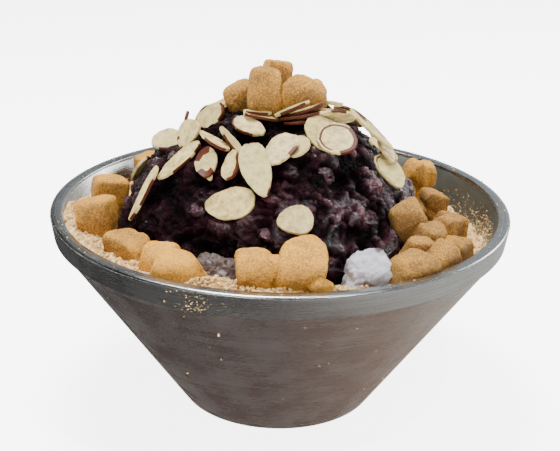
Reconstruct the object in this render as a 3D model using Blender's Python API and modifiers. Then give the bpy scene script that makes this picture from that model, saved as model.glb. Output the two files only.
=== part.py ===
"""Bingsu: shaved milk ice, a heap of sweet red bean paste, soybean powder, small rice cakes and
sliced almonds, in a double-walled steel bowl.

Frame: +Z up, the bowl's axis on Z, its foot on z = 0, and the side where the ice shows faces -Y.
Every size and place below is in millimetres, and every azimuth in degrees, counted from +X
towards +Y. Blender's metres come in only where a mesh is written.
"""

import math

import bmesh
import bpy
import numpy as np
from mathutils import Euler, Matrix, Vector
from mathutils.bvhtree import BVHTree

MM = 0.001
GAP = 0.3                     # air left between two pieces that touch
ROOM = 0.45                   # how far a piece grows to cut its neighbours, so that edges keep the gap
WALL_CLEAR = 0.6              # gap to the bowl's wall and the heap's edge, which are faceted
ROOM_FLOOR = 20.0             # the cutters of the beds reach down to here ...
ROOM_DEPTH = 4.0              # ... or this far into what lies next to them

# --- The bowl: two steel shells welded at the rim, seen and weighed as one wall -------------------
RIM_RADIUS = 95.0
RIM_TOP = 85.0
LIP_WIDTH = 5.2
LIP_ROUND = 1.1
BAND_HEIGHT = 9.0
BAND_TAPER = 1.2
BAND_STEP = 1.1
FOOT_RADIUS = 41.2            # where the cone would meet the floor if its corner were sharp
FOOT_ROUND = 3.0
FOOT_RING_INNER = 31.0
FOOT_RECESS = 1.2
CONE_TOP_RADIUS = RIM_RADIUS - BAND_TAPER - BAND_STEP
CONE_TOP = RIM_TOP - BAND_HEIGHT - 0.4
CONE_SLOPE = (CONE_TOP_RADIUS - FOOT_RADIUS) / CONE_TOP
WELL_FLOOR = 6.5
WELL_ROUND = 6.0
BOWL_STEPS = 48

# --- The shaved ice: a tilted bed in the well, doming up under the beans --------------------------
ICE_MIDDLE = 75.0
ICE_RISE_FRONT = 6.5          # at the wall on -Y; the back is as much lower
ICE_RISE_LEFT = 2.5           # at the wall on -X; the right is as much lower
WALL_REACH = 86.0
ICE_DOME = 22.0
ICE_SIDES = 42
# Chunks of ice that stand clear of the beans: name, centre, sizes, turns, taper, form number.
ICE_CHUNKS = (
    ("front", (31.0, -72.0, 82.0), (15.0, 14.0, 19.0), (10, -8, 20), 0.25, 5),
    ("front_left", (-24.0, -66.0, 79.5), (19.0, 15.0, 15.0), (0, 6, -15), 0.20, 9),
)

# --- The red beans: a heap with a steep foot --------------------------------------------------------
HEAP_TOP = 128.0
HEAP_FOOT = 6.0               # height of the blunt foot
HEAP_SIDES = ICE_SIDES        # so that the heap's facets lie on those of the ice
HEAP_LUMP = 0.9               # half height of the heap's broad swellings
HEAP_FULLNESS = 0.85          # power of the dome's fall: the lower, the fuller ...
HEAP_LEAN = 0.10              # ... and how much it differs from the left side to the right
TOE_POWER = 6                 # how bluntly the foot ends
# Radius of the heap's edge round the bowl: azimuth, radius.
HEAP_EDGE = (
    (-180, 67), (-165, 68), (-150, 73), (-135, 71), (-121, 65), (-110, 65), (-99, 73), (-88, 75),
    (-70, 75), (-62, 73), (-50, 73), (-30, 66), (-10, 64), (10, 63.5), (35, 66), (60, 68),
    (90, 67), (120, 67), (150, 68),
)
SPILL_AZIMUTH = -76.0         # a tongue of beans that reaches the rim
SPILL_REACH = 12.0
SPILL_WIDTH = 6.0

# --- The soybean powder: a crumbly bed between the heap and the wall -------------------------------
POWDER_START = -56.0          # the bed runs anticlockwise from here ...
POWDER_SWEEP = 306.0          # ... and stops short of the ice that shows in front
POWDER_SECTIONS = 38
POWDER_LUMP = 0.8
POWDER_SAG = 9.0              # how much lower the powder would be on the axis than at the wall
POWDER_SAG_POWER = 4
POWDER_THIN = 1.2             # the least depth of the powder on the ice
POWDER_STATIONS = (0.0, 0.3, 0.65, 1.0)
# Height of the powder at the wall: azimuth, height.
POWDER_LEVEL = (
    (-180, 82.5), (-168, 84.3), (-150, 84.6), (-110, 84.3), (-56, 83.5), (-40, 82.0), (-20, 78.0),
    (0, 74.5), (15, 73.0), (28, 71.5), (60, 71.5), (110, 72.0), (140, 75.0), (165, 79.0),
)

# --- Rice cakes: name, centre, sizes, turns about X, Y and Z, taper (narrower on top), form number ---
RICE_CAKES = (
    ("crown_left", (-7.5, -5.0, 133.5), (13.5, 12.0, 22.0), (4, 2, 5), 0.12, 1),
    ("crown_right", (7.0, -3.5, 130.5), (20.0, 12.0, 18.0), (4, 28, -8), 0.40, 2),
    ("crown_back", (-2.5, 9.0, 134.0), (13.0, 10.0, 17.5), (-6, 8, 15), 0.25, 3),
    ("crown_far", (12.0, 9.5, 129.0), (12.0, 10.0, 12.0), (0, -8, 20), 0.10, 4),
    ("crown_side", (-17.5, 7.5, 127.5), (13.5, 11.0, 12.0), (5, -22, 10), 0.20, 5),
    ("left_upper", (-72.4, 4.0, 87.0), (15.0, 13.0, 14.0), (8, 8, 20), 0.15, 6),
    ("left_big", (-72.5, -26.5, 86.0), (14.5, 14.0, 17.0), (-6, -10, -15), -0.10, 7),
    ("left_low", (-57.5, -49.0, 83.6), (19.5, 14.0, 11.0), (6, 4, -35), 0.20, 8),
    ("front_big", (-36.0, -73.8, 84.2), (21.0, 11.5, 16.0), (12, 4, -12), 0.55, 10),
    ("front_round", (-43.6, -65.1, 84.5), (15.5, 12.5, 14.0), (8, -6, -30), 0.25, 9),
    ("centre_left", (-8.3, -77.8, 87.6), (14.0, 12.0, 16.0), (6, -4, 5), 0.05, 11),
    ("centre_low", (-0.2, -78.5, 86.5), (11.0, 9.0, 15.5), (10, 5, -8), 0.10, 12),
    ("centre_tall", (8.0, -80.0, 91.5), (17.5, 10.5, 22.5), (8, 8, 4), 0.05, 31),
    ("centre_flat", (15.0, -84.0, 85.0), (8.5, 7.0, 6.5), (0, 32, 10), 0.10, 14),
    ("right_front", (49.0, -68.0, 85.4), (19.5, 13.0, 13.5), (14, 8, 34), 0.40, 15),
    ("right_facet", (60.0, -57.0, 84.0), (13.5, 12.0, 12.5), (10, -14, 42), 0.30, 16),
    ("right_wedge", (52.4, -54.2, 86.8), (13.0, 9.0, 8.5), (12, 12, 30), 0.20, 17),
    ("right_leaning", (49.0, -39.0, 92.5), (14.5, 11.5, 17.0), (12, -14, 20), 0.15, 18),
    ("right_middle", (57.6, -41.0, 86.0), (17.0, 12.0, 13.0), (14, 16, 30), 0.20, 19),
    ("right_upper", (64.8, -28.5, 84.2), (13.0, 11.5, 14.0), (6, 14, 50), 0.20, 20),
    ("right_dusty", (68.6, -21.0, 83.0), (11.0, 12.0, 12.5), (0, 12, 20), 0.20, 21),
    ("right_outer", (67.6, -45.0, 83.0), (10.5, 11.5, 11.5), (4, -8, 55), 0.20, 22),
    ("right_double", (64.6, 12.0, 80.0), (11.5, 11.0, 14.5), (4, 14, 15), 0.10, 23),
    ("far_right", (62.8, 39.0, 85.4), (15.0, 11.0, 12.0), (-4, 14, 20), 0.10, 24),
    ("far_right_low", (60.5, 43.0, 76.5), (14.5, 12.5, 10.5), (6, -8, 30), 0.00, 25),
    ("back_right", (46.0, 60.5, 80.0), (15.0, 13.0, 12.5), (-8, 6, 40), 0.10, 26),
    ("back_left", (-31.0, 70.5, 79.5), (16.0, 12.5, 13.0), (-10, -8, -15), 0.20, 27),
    ("back_left_upper", (-45.0, 60.5, 82.0), (14.0, 14.0, 12.0), (-6, 14, 25), 0.10, 28),
    ("back_left_outer", (-59.0, 48.5, 82.5), (15.5, 12.0, 13.5), (8, -12, -40), 0.20, 29),
    ("back_left_flat", (-17.0, 75.0, 76.5), (12.0, 10.0, 9.0), (0, 10, 20), 0.00, 30),
)
CAKE_CUTS = 2                 # grid lines across each face of the cube that a cake starts from
CAKE_SLANTS = 6               # slanting cuts that take off a cake's corners
CAKE_SLANT_DEPTH = (1.0, 1.18)    # how far out the slanting cuts lie, against a cut at the corner
DEPTH_NUMBERS = 500           # kept between the numbers that draw the cuts' ways and their depths
CAKE_CRISP = 8.0              # how crisply the cut faces meet
CAKE_REACH = 1.2
CROWN_LEVEL = 110.0           # cakes above this height lie on the heap alone

# --- Almond slices: name, azimuth, radius, heading (0 points downhill, 90 anticlockwise), roll
# about the long axis, pitch, length, width, taper (towards the heading), camber, and the height of
# the middle over the heap where the slice is stuck into it, or None where it lies on it ------------
ALMOND_THICK = 1.2
ALMOND_SIDES = 14
NORMAL_STEP = 3.0
DROP = 7.0                    # how deep a slice may start in another before it is lifted off
SLICE_PARTS = (0.3, 0.65, 0.85, 1.0)    # where, from middle to edge, a slice feels for what is under it
ALMONDS = (
    ("left_round", 180, 45, -120, 45, 0, 14.0, 12.5, 0.05, 0.3, 2.5),
    ("left_far", 170, 39, -75, -40, 0, 14.0, 9.0, 0.10, 0.3, 2.0),
    ("left_spotted", -160, 38, 120, 40, 0, 15.0, 11.0, 0.15, 0.3, 2.0),
    ("left_skinned", -175, 28, -45, -40, 0, 16.0, 11.0, 0.15, 0.5, 2.0),
    ("left_long", -145, 48, 0, 0, 0, 22.0, 8.0, 0.20, 0.5, None),
    ("left_cupped", -130, 44, 45, 10, 0, 13.0, 9.0, 0.10, 1.2, None),
    ("left_pointed", -135, 37, -105, 45, 0, 21.0, 7.0, 0.35, 0.5, 0.8),
    ("left_sliver", -125, 34, -105, 40, 0, 16.0, 5.0, 0.30, 0.4, 2.4),
    ("left_steep", -145, 61, 15, 20, 0, 24.0, 7.5, 0.20, 0.6, 1.6),
    ("left_edge", 175, 58, -15, 20, 0, 14.0, 7.0, 0.20, 0.4, 1.2),
    ("front_half", -115, 42, -165, -20, 0, 13.5, 8.0, 0.20, 0.8, 0.8),
    ("front_upper", -120, 25, 75, -10, 0, 16.0, 9.0, 0.25, 0.5, 1.4),
    ("front_square", -80, 34, 165, -20, 0, 13.0, 10.0, 0.05, 0.3, 0.9),
    ("front_skinned", -90, 37, -30, 0, 0, 18.0, 11.0, 0.15, 0.4, None),
    ("front_upright", -100, 46, 15, 0, 10, 25.0, 11.2, 0.25, 0.4, None),
    ("front_oval", -110, 52, -90, 0, 0, 21.0, 13.0, 0.12, 0.3, 2.2),
    ("front_drop", -85, 61, -75, 10, 0, 13.5, 12.0, 0.25, 0.4, 1.1),
    ("right_pale", -55, 29, -165, -10, 0, 20.0, 16.0, 0.10, 0.4, 1.4),
    ("right_capped", -55, 35, 0, 25, 0, 17.5, 15.0, 0.05, 0.8, None),
    ("right_far", 30, 31, -30, -30, 0, 15.0, 10.0, 0.15, 0.4, 2.0),
    ("right_finger", 20, 38, -15, 20, 15, 13.0, 5.0, 0.20, 0.3, 2.2),
    ("right_ridged", -20, 45, -30, 25, 0, 19.0, 12.0, 0.15, 0.6, 1.4),
    ("right_behind", -10, 40, -45, 5, 0, 12.0, 9.0, 0.10, 0.4, 0.6),
    ("right_oval", 5, 41, -45, 25, 0, 16.0, 10.5, 0.20, 0.4, 2.2),
    ("right_steep", -10, 33, -15, 10, 0, 24.0, 8.0, 0.20, 0.4, 2.4),
    ("back_flat", 80, 40, 45, 0, 0, 19.0, 11.0, 0.20, 0.4, 1.2),
)


# ======================================= Shapes =====================================================

def around(azimuth, table):
    """A value read round the bowl from a table of azimuth and value, eased between its entries."""
    marks, values = np.array(table, float).T
    marks = np.append(marks, marks[0] + 360.0)
    values = np.append(values, values[0])
    turn = (np.asarray(azimuth, float) - marks[0]) % 360.0 + marks[0]
    left = np.clip(np.searchsorted(marks, turn, side="right") - 1, 0, len(marks) - 2)
    part = (turn - marks[left]) / (marks[left + 1] - marks[left])
    ease = (1.0 - np.cos(np.pi * part)) / 2.0
    return values[left] + (values[left + 1] - values[left]) * ease


def well_radius(z):
    """Radius of the bowl's inner wall at a height."""
    return RIM_RADIUS - LIP_WIDTH - (RIM_TOP - 1.0 - z) * CONE_SLOPE


def swell(x, y, number):
    """Gentle swellings from -1 to 1: three crossed waves, shifted by a number."""
    return (np.sin(0.31 * x + 0.17 * y + number) + np.sin(0.11 * x - 0.29 * y + 2.1 * number)
            + np.sin(0.23 * x - 0.37 * y + 3.7 * number)) / 3.0


def ice_level(x, y):
    """Top of the ice bed outside the heap: a tilted plane."""
    return ICE_MIDDLE - (ICE_RISE_FRONT * y + ICE_RISE_LEFT * x) / WALL_REACH


def heap_edge(azimuth):
    """Radius of the heap's edge, with the spilled tongue."""
    spill = SPILL_REACH * np.exp(-((np.asarray(azimuth) - SPILL_AZIMUTH) / SPILL_WIDTH) ** 2)
    return around(azimuth, HEAP_EDGE) + spill


def ice_height(x, y):
    """Top of the ice: its level, with a dome under the heap."""
    inside = np.clip(np.hypot(x, y) / around(np.degrees(np.arctan2(y, x)), HEAP_EDGE), 0.0, 1.0)
    return ice_level(x, y) + ICE_DOME * (1.0 - inside ** 2)


def heap_height(x, y):
    """Top of the heap: a dome that is fuller on the left, or its blunt foot where that is higher."""
    azimuth = np.degrees(np.arctan2(y, x))
    reach = np.hypot(x, y)
    body = np.clip(reach / around(azimuth, HEAP_EDGE), 0.0, 1.0)
    edge = heap_edge(azimuth)
    foot = ice_level(x / np.maximum(reach, 1e-6) * edge, y / np.maximum(reach, 1e-6) * edge) + GAP
    fullness = HEAP_FULLNESS + HEAP_LEAN * np.cos(np.radians(azimuth))
    dome = (HEAP_TOP - foot) * (1.0 - body ** 2) ** fullness
    toe = HEAP_FOOT * np.sqrt(np.clip(1.0 - (reach / edge) ** TOE_POWER, 0.0, 1.0))
    lump = HEAP_LUMP * swell(x, y, 1.0) * np.clip((edge - reach) / 10.0, 0.0, 1.0)
    return foot + np.maximum(dome, toe) + lump


def powder_height(azimuth, reach):
    """Top of the powder: level at the wall, sagging a little towards the heap."""
    x = reach * np.cos(np.radians(azimuth))
    y = reach * np.sin(np.radians(azimuth))
    level = around(azimuth, POWDER_LEVEL)
    sag = POWDER_SAG * (1.0 - (reach / well_radius(level)) ** POWDER_SAG_POWER)
    return level - sag + POWDER_LUMP * swell(x, y, 4.0)


def cut_planes(sizes, number):
    """Planes that bound a soft block: its six sides, and slanting cuts that take off its corners."""
    half = np.array(sizes) / 2.0
    slants = np.random.default_rng(number).normal(size=(CAKE_SLANTS, 3))
    slants /= np.linalg.norm(slants, axis=1)[:, None]
    directions = np.vstack((np.eye(3), -np.eye(3), slants))
    reach = np.linalg.norm(directions * half, axis=1)
    depth = np.random.default_rng(number + DEPTH_NUMBERS).uniform(*CAKE_SLANT_DEPTH, CAKE_SLANTS)
    reach[6:] *= depth
    return directions, reach


def soft_block(way, sizes, number):
    """Points of a soft block in the given directions: a rounded lowest reach of its cut planes."""
    directions, reach = cut_planes(sizes, number)
    way = way / np.linalg.norm(way, axis=1)[:, None]
    pull = np.clip(way @ directions.T, 0.0, None) / reach
    return way * (np.sum(pull ** CAKE_CRISP, axis=1) ** (-1.0 / CAKE_CRISP))[:, None]


# ======================================= Blender ====================================================

def material(name, colour, roughness, metallic=0.0):
    """A plain Principled material; the colour is linear."""
    made = bpy.data.materials.new(name)
    made.use_nodes = True
    shader = made.node_tree.nodes["Principled BSDF"]
    shader.inputs["Base Color"].default_value = (*colour, 1.0)
    shader.inputs["Roughness"].default_value = roughness
    shader.inputs["Metallic"].default_value = metallic
    made.diffuse_color = (*colour, 1.0)
    return made


def add_piece(name, form, collection, finish=None):
    """Put a bmesh, drawn in millimetres, into a named object, and free it."""
    bmesh.ops.scale(form, vec=(MM, MM, MM), verts=form.verts)
    mesh = bpy.data.meshes.new(name)
    form.to_mesh(mesh)
    form.free()
    piece = bpy.data.objects.new(name, mesh)
    collection.objects.link(piece)
    if finish is not None:
        mesh.materials.append(finish)
    return piece


def skin_rings(rings):
    """A bmesh over a row of closed rings of points, with each end closed by a fan."""
    form = bmesh.new()
    rows = [[form.verts.new(point) for point in ring] for ring in rings]
    for near, far in zip(rows, rows[1:]):
        for here, there in enumerate([*range(1, len(near)), 0]):
            form.faces.new((near[here], near[there], far[there], far[here]))
    for row in (rows[0], rows[-1]):
        middle = form.verts.new(sum((vert.co for vert in row), Vector()) / len(row))
        for here, there in enumerate([*range(1, len(row)), 0]):
            form.faces.new((row[here], row[there], middle))
    bmesh.ops.recalc_face_normals(form, faces=form.faces)
    return form


def polar_ring(azimuths, reach, height):
    """One ring of points round the axis."""
    x = reach * np.cos(np.radians(azimuths))
    y = reach * np.sin(np.radians(azimuths))
    return np.stack((x, y, height(x, y) if callable(height) else height + 0.0 * x), axis=1)


def hide(cutter):
    """Mark a cutter, so that only its cuts are seen."""
    cutter.hide_render = True
    cutter.display_type = "WIRE"
    return cutter


def grown(piece, cutters):
    """A hidden copy of a piece, grown by the gap, to cut its neighbours with."""
    name = piece.name + "_room"
    if name in bpy.data.objects:
        return bpy.data.objects[name]
    copy = piece.copy()
    copy.name = name
    cutters.objects.link(copy)
    grow = copy.modifiers.new("gap", "DISPLACE")
    grow.strength = ROOM * MM
    grow.mid_level = 0.0
    return hide(copy)


def corners(thing):
    """The lowest and highest corner of an object's own mesh, in the world."""
    places = np.array([thing.matrix_basis @ vert.co for vert in thing.data.vertices])
    return places.min(axis=0), places.max(axis=0)


def cut_away(piece, cutter):
    """Take a cutter's space out of a piece, where the two are near each other."""
    low, high = corners(piece)
    cutter_low, cutter_high = corners(cutter)
    if cutter.name != "bowl_room" and ((low > cutter_high + ROOM * MM).any()
                                       or (high < cutter_low - ROOM * MM).any()):
        return
    cut = piece.modifiers.new("clear_" + cutter.name, "BOOLEAN")
    cut.operation = "DIFFERENCE"
    cut.solver = "EXACT"
    cut.object = cutter


# ======================================= The pieces =================================================

def bowl_profile():
    """Radius and height along the bowl's wall: up the inside, over the lip, down to the foot."""
    lip_inner = RIM_RADIUS - LIP_WIDTH
    quarter = np.radians((90.0, 60.0, 30.0, 0.0))
    well_end = well_radius(WELL_FLOOR + WELL_ROUND / 2.0)
    points = [(0.0, WELL_FLOOR), (well_end - WELL_ROUND, WELL_FLOOR)]
    points += [(well_end - WELL_ROUND / 3.0, WELL_FLOOR + WELL_ROUND / 6.0)]
    points += [(well_radius(WELL_FLOOR + WELL_ROUND), WELL_FLOOR + WELL_ROUND)]
    lip_low = RIM_TOP - LIP_ROUND
    points += [(lip_inner + LIP_ROUND * (1.0 - math.sin(a)), lip_low + LIP_ROUND * math.cos(a))
               for a in quarter]
    points += [(RIM_RADIUS - LIP_ROUND * (1.0 - math.cos(a)), lip_low + LIP_ROUND * math.sin(a))
               for a in quarter]
    points += [(RIM_RADIUS - BAND_TAPER, RIM_TOP - BAND_HEIGHT), (CONE_TOP_RADIUS, CONE_TOP)]
    foot_edge = FOOT_RADIUS + FOOT_ROUND * CONE_SLOPE
    points += [(foot_edge, FOOT_ROUND), (foot_edge - FOOT_ROUND * 0.55, FOOT_ROUND * 0.22)]
    points += [(FOOT_RADIUS - FOOT_ROUND * 0.75, 0.0), (FOOT_RING_INNER, 0.0)]
    points += [(FOOT_RING_INNER - FOOT_RECESS, FOOT_RECESS), (0.0, FOOT_RECESS)]
    return points


def make_bowl(collection, finish):
    """The bowl: a profile turned round Z."""
    points = bowl_profile()
    mesh = bpy.data.meshes.new("bowl")
    mesh.from_pydata([(r * MM, 0.0, z * MM) for r, z in points],
                     [(i, i + 1) for i in range(len(points) - 1)], [])
    mesh.materials.append(finish)
    bowl = bpy.data.objects.new("bowl", mesh)
    collection.objects.link(bowl)
    turn = bowl.modifiers.new("turn", "SCREW")
    turn.steps = BOWL_STEPS
    turn.render_steps = BOWL_STEPS
    turn.use_merge_vertices = True
    turn.merge_threshold = 0.00001
    turn.use_smooth_shade = True
    return bowl


def make_ice(collection, cutters, bowl_room, finish):
    """The shaved ice: a bed that fills the well, joined with the chunks that stand clear."""
    azimuths = np.arange(ICE_SIDES) * 360.0 / ICE_SIDES
    edge = heap_edge(azimuths)
    low = WELL_FLOOR + GAP + WALL_CLEAR
    corner = WELL_FLOOR + WELL_ROUND
    wall = well_radius(ice_level(*polar_ring(azimuths, WALL_REACH, 0.0)[:, :2].T)) - WALL_CLEAR
    rings = [polar_ring(azimuths, well_radius(low) * part - WELL_ROUND, low) for part in (0.5, 1.0)]
    rings += [polar_ring(azimuths, well_radius(corner) - WALL_CLEAR, corner)]
    rings += [polar_ring(azimuths, edge + (wall - edge) * part, ice_height) for part in (1.0, 0.5)]
    rings += [polar_ring(azimuths, edge * part, ice_height) for part in (1.0, 0.85, 0.65, 0.4, 0.15)]
    ice = add_piece("shaved_ice", skin_rings(rings), collection, finish)
    chunks = []
    for name, centre, sizes, turns, taper, number in ICE_CHUNKS:
        chunk = make_block("ice_chunk_" + name, centre, sizes, turns, taper, number, cutters, None)
        cut_away(hide(chunk), bowl_room)
        join = ice.modifiers.new("join_" + name, "BOOLEAN")
        join.operation = "UNION"
        join.solver = "EXACT"
        join.object = chunk
        chunks.append(chunk)
    return chunks


def make_ice_room(cutters):
    """What the ice keeps free of other pieces: all under its level, out past the bowl's wall."""
    azimuths = np.arange(ICE_SIDES) * 360.0 / ICE_SIDES
    rings = [polar_ring(azimuths, RIM_RADIUS, ROOM_FLOOR)]
    rings += [polar_ring(azimuths, RIM_RADIUS * part, lambda x, y: ice_level(x, y) + ROOM)
              for part in (1.0, 0.5)]
    return hide(add_piece("shaved_ice_room", skin_rings(rings), cutters))


def make_heap(collection, finish):
    """The red beans: rings out along the ice, then back up over the heap."""
    azimuths = np.arange(HEAP_SIDES) * 360.0 / HEAP_SIDES
    edge = heap_edge(azimuths)
    rings = [polar_ring(azimuths, edge * part, lambda x, y: ice_height(x, y) + GAP)
             for part in (0.15, 0.4, 0.65, 0.85, 1.0)]
    rings += [polar_ring(azimuths, edge * part, heap_height)
              for part in (0.99, 0.96, 0.91, 0.84, 0.75, 0.64, 0.52, 0.39, 0.26, 0.12)]
    return add_piece("red_bean_heap", skin_rings(rings), collection, finish)


def powder_rings(spare, depth):
    """The powder's sections round the bowl, each grown at its inner side and top by a spare length,
    and let down into the ice and out through the wall by a depth."""
    rings = []
    for azimuth in POWDER_START + np.linspace(0.0, POWDER_SWEEP, POWDER_SECTIONS):
        way = np.array((math.cos(math.radians(azimuth)), math.sin(math.radians(azimuth))))
        azimuth = (azimuth + 180.0) % 360.0 - 180.0
        inner = heap_edge(azimuth) + WALL_CLEAR - spare
        floor = ice_level(*(way * WALL_REACH)) + GAP
        outer_low = well_radius(floor) - WALL_CLEAR + depth
        wall = well_radius(around(azimuth, POWDER_LEVEL))
        outer_top = well_radius(powder_height(azimuth, wall)) - WALL_CLEAR + depth
        ring = []
        for reach in (inner, outer_low):
            x, y = way * reach
            ring.append((x, y, ice_level(x, y) + GAP - depth))
        for part in POWDER_STATIONS:
            reach = outer_top + (inner - outer_top) * part
            x, y = way * reach
            lowest = ice_level(x, y) + GAP + POWDER_THIN
            ring.append((x, y, max(powder_height(azimuth, reach), lowest) + spare))
        rings.append(ring)
    return rings


def make_block(name, centre, sizes, turns, taper, number, collection, finish):
    """A soft block: a cube with a grid on each face, drawn in to the block's cut planes."""
    form = bmesh.new()
    bmesh.ops.create_cube(form, size=2.0)
    bmesh.ops.subdivide_edges(form, edges=form.edges, cuts=CAKE_CUTS, use_grid_fill=True)
    way = np.array([vert.co for vert in form.verts])
    for vert, (x, y, z) in zip(form.verts, soft_block(way, sizes, number)):
        slim = 1.0 - taper * z / sizes[2]
        vert.co = (x * slim, y * slim, z)
    block = add_piece(name, form, collection, finish)
    block.location = Vector(centre) * MM
    block.rotation_euler = Euler(np.radians(turns))
    return block


def make_almond(name, length, width, taper, camber, collection, finish):
    """An almond slice: a thin disc drawn out to an almond's outline and slightly cupped."""
    form = bmesh.new()
    bmesh.ops.create_cone(form, cap_ends=True, cap_tris=True, segments=ALMOND_SIDES,
                          radius1=1.0, radius2=1.0, depth=1.0)
    for vert in form.verts:
        x, y, z = vert.co
        vert.co = (x * length / 2.0, y * width / 2.0 * (1.0 - taper * x),
                   z * ALMOND_THICK + camber * (x * x + y * y))
    return add_piece(name, form, collection, finish)


def heap_normal(x, y):
    """The way out of the heap at a place."""
    step = NORMAL_STEP
    rise_x = (heap_height(x + step, y) - heap_height(x - step, y)) / (2.0 * step)
    rise_y = (heap_height(x, y + step) - heap_height(x, y - step)) / (2.0 * step)
    return Vector((-rise_x, -rise_y, 1.0)).normalized()


def almond_turn(x, y, heading, roll, pitch):
    """A slice's own X, Y and Z on the heap, as the columns of a matrix."""
    up = heap_normal(x, y)
    out = Vector((x, y, 0.0))
    out = (out - up * out.dot(up)).normalized()
    along = Matrix.Rotation(math.radians(heading), 3, up) @ out
    across = up.cross(along)
    lean = Matrix.Rotation(math.radians(roll), 3, along)
    across = lean @ across
    up = lean @ up
    nod = Matrix.Rotation(math.radians(pitch), 3, across)
    return Matrix((nod @ along, across, nod @ up)).transposed()


def fall(places, target, graph, way):
    """How far points stand off an object, each measured against a way and started from beyond it."""
    tree = BVHTree.FromObject(target, graph)
    inward = target.matrix_world.inverted()
    down = inward.to_3x3() @ -way
    hits = [(place, tree.ray_cast(inward @ (place + way * DROP * MM), down)[0]) for place in places]
    return [(place - target.matrix_world @ hit).dot(way) for place, hit in hits if hit is not None]


def clearance(piece, way, supports):
    """The least room between a slice and what lies behind it, or None where nothing does."""
    graph = bpy.context.evaluated_depsgraph_get()
    middle = piece.matrix_world.translation
    outline = [piece.matrix_world @ vert.co for vert in piece.data.vertices]
    places = [middle.lerp(corner, part) for corner in outline for part in SLICE_PARTS]
    rooms = []
    for support in supports:
        rooms += fall(places, support, graph, way)
        solid = support.evaluated_get(graph).data
        rooms += fall([support.matrix_world @ vert.co for vert in solid.vertices], piece, graph, -way)
    return min(rooms, default=None)


def build():
    """Clear the scene and make every piece of the bingsu."""
    for thing in list(bpy.data.objects):
        bpy.data.objects.remove(thing, do_unlink=True)
    bingsu = bpy.data.collections.new("bingsu")
    cutters = bpy.data.collections.new("cutters")
    bpy.context.scene.collection.children.link(bingsu)
    bpy.context.scene.collection.children.link(cutters)

    steel = material("stainless_steel", (0.36, 0.36, 0.35), 0.28, 1.0)
    ice_white = material("shaved_ice", (0.80, 0.83, 0.88), 0.35)
    bean_brown = material("red_bean_paste", (0.035, 0.012, 0.014), 0.35)
    powder_tan = material("soybean_powder", (0.68, 0.42, 0.23), 0.95)
    cake_amber = material("rice_cake", (0.60, 0.33, 0.12), 0.75)
    almond_cream = material("almond", (0.75, 0.68, 0.50), 0.6)

    bowl = make_bowl(bingsu, steel)
    bowl_room = grown(bowl, cutters)
    chunks = make_ice(bingsu, cutters, bowl_room, ice_white)
    heap = make_heap(bingsu, bean_brown)
    powder = add_piece("soybean_powder", skin_rings(powder_rings(0.0, 0.0)), bingsu, powder_tan)
    for chunk in chunks:
        cut_away(heap, grown(chunk, cutters))
        cut_away(powder, grown(chunk, cutters))
    cut_away(powder, grown(heap, cutters))
    powder_room = hide(add_piece("soybean_powder_room",
                                 skin_rings(powder_rings(ROOM, ROOM_DEPTH)), cutters))
    bed = [make_ice_room(cutters), powder_room, bowl_room]
    bed += [grown(chunk, cutters) for chunk in chunks]

    cakes = []
    for name, centre, sizes, turns, taper, number in RICE_CAKES:
        cake = make_block("rice_cake_" + name, centre, sizes, turns, taper, number, bingsu,
                          cake_amber)
        cut_away(cake, grown(heap, cutters))
        if centre[2] < CROWN_LEVEL:
            for cutter in bed:
                cut_away(cake, cutter)
        for other in cakes:
            reach = (max(sizes) + other["across"]) / 2.0 * CAKE_REACH
            if (Vector(centre) - Vector(other["centre"])).length < reach:
                cut_away(cake, grown(other["piece"], cutters))
        cakes.append({"piece": cake, "centre": centre, "across": max(sizes)})

    slices = []
    for name, azimuth, radius, heading, roll, pitch, *form, lift in ALMONDS:
        flake = make_almond("almond_" + name, *form, bingsu, almond_cream)
        x = radius * math.cos(math.radians(azimuth))
        y = radius * math.sin(math.radians(azimuth))
        way = heap_normal(x, y)
        place = Vector((x, y, heap_height(x, y))) + way * (lift or 0.0)
        turn = almond_turn(x, y, heading, roll, pitch)
        flake.matrix_world = Matrix.Translation(place * MM) @ turn.to_4x4()
        bpy.context.view_layer.update()
        supports = [*[cake["piece"] for cake in cakes], *slices]
        if lift is None:
            supports.append(heap)
        else:
            cut_away(flake, grown(heap, cutters))
        room = clearance(flake, way, supports)
        if room is not None and (lift is None or room < ROOM * MM):
            flake.location += way * (ROOM * MM - room)
        slices.append(flake)


build()
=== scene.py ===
import math

import bmesh
import bpy
import numpy as np
from mathutils import Euler, Matrix, Vector


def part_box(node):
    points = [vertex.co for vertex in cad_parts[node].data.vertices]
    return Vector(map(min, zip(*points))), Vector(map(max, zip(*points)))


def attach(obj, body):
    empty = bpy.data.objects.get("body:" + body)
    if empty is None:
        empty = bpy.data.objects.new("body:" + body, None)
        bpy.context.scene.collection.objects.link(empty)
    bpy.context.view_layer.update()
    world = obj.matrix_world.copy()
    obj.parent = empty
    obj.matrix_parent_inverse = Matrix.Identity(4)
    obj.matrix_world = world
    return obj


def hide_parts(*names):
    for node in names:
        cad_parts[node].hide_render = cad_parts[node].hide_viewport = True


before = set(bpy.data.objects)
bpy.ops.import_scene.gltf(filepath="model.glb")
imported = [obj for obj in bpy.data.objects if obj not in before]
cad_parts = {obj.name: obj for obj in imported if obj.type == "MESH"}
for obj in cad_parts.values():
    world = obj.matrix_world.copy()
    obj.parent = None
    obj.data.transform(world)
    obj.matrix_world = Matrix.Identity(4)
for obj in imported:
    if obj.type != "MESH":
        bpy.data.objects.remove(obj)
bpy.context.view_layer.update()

# Sizes and places are in millimetres and azimuths in degrees, as in the part's own source; metres
# come in only where a mesh is written. -Y is the front and +X the right.
MM = 0.001

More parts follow.
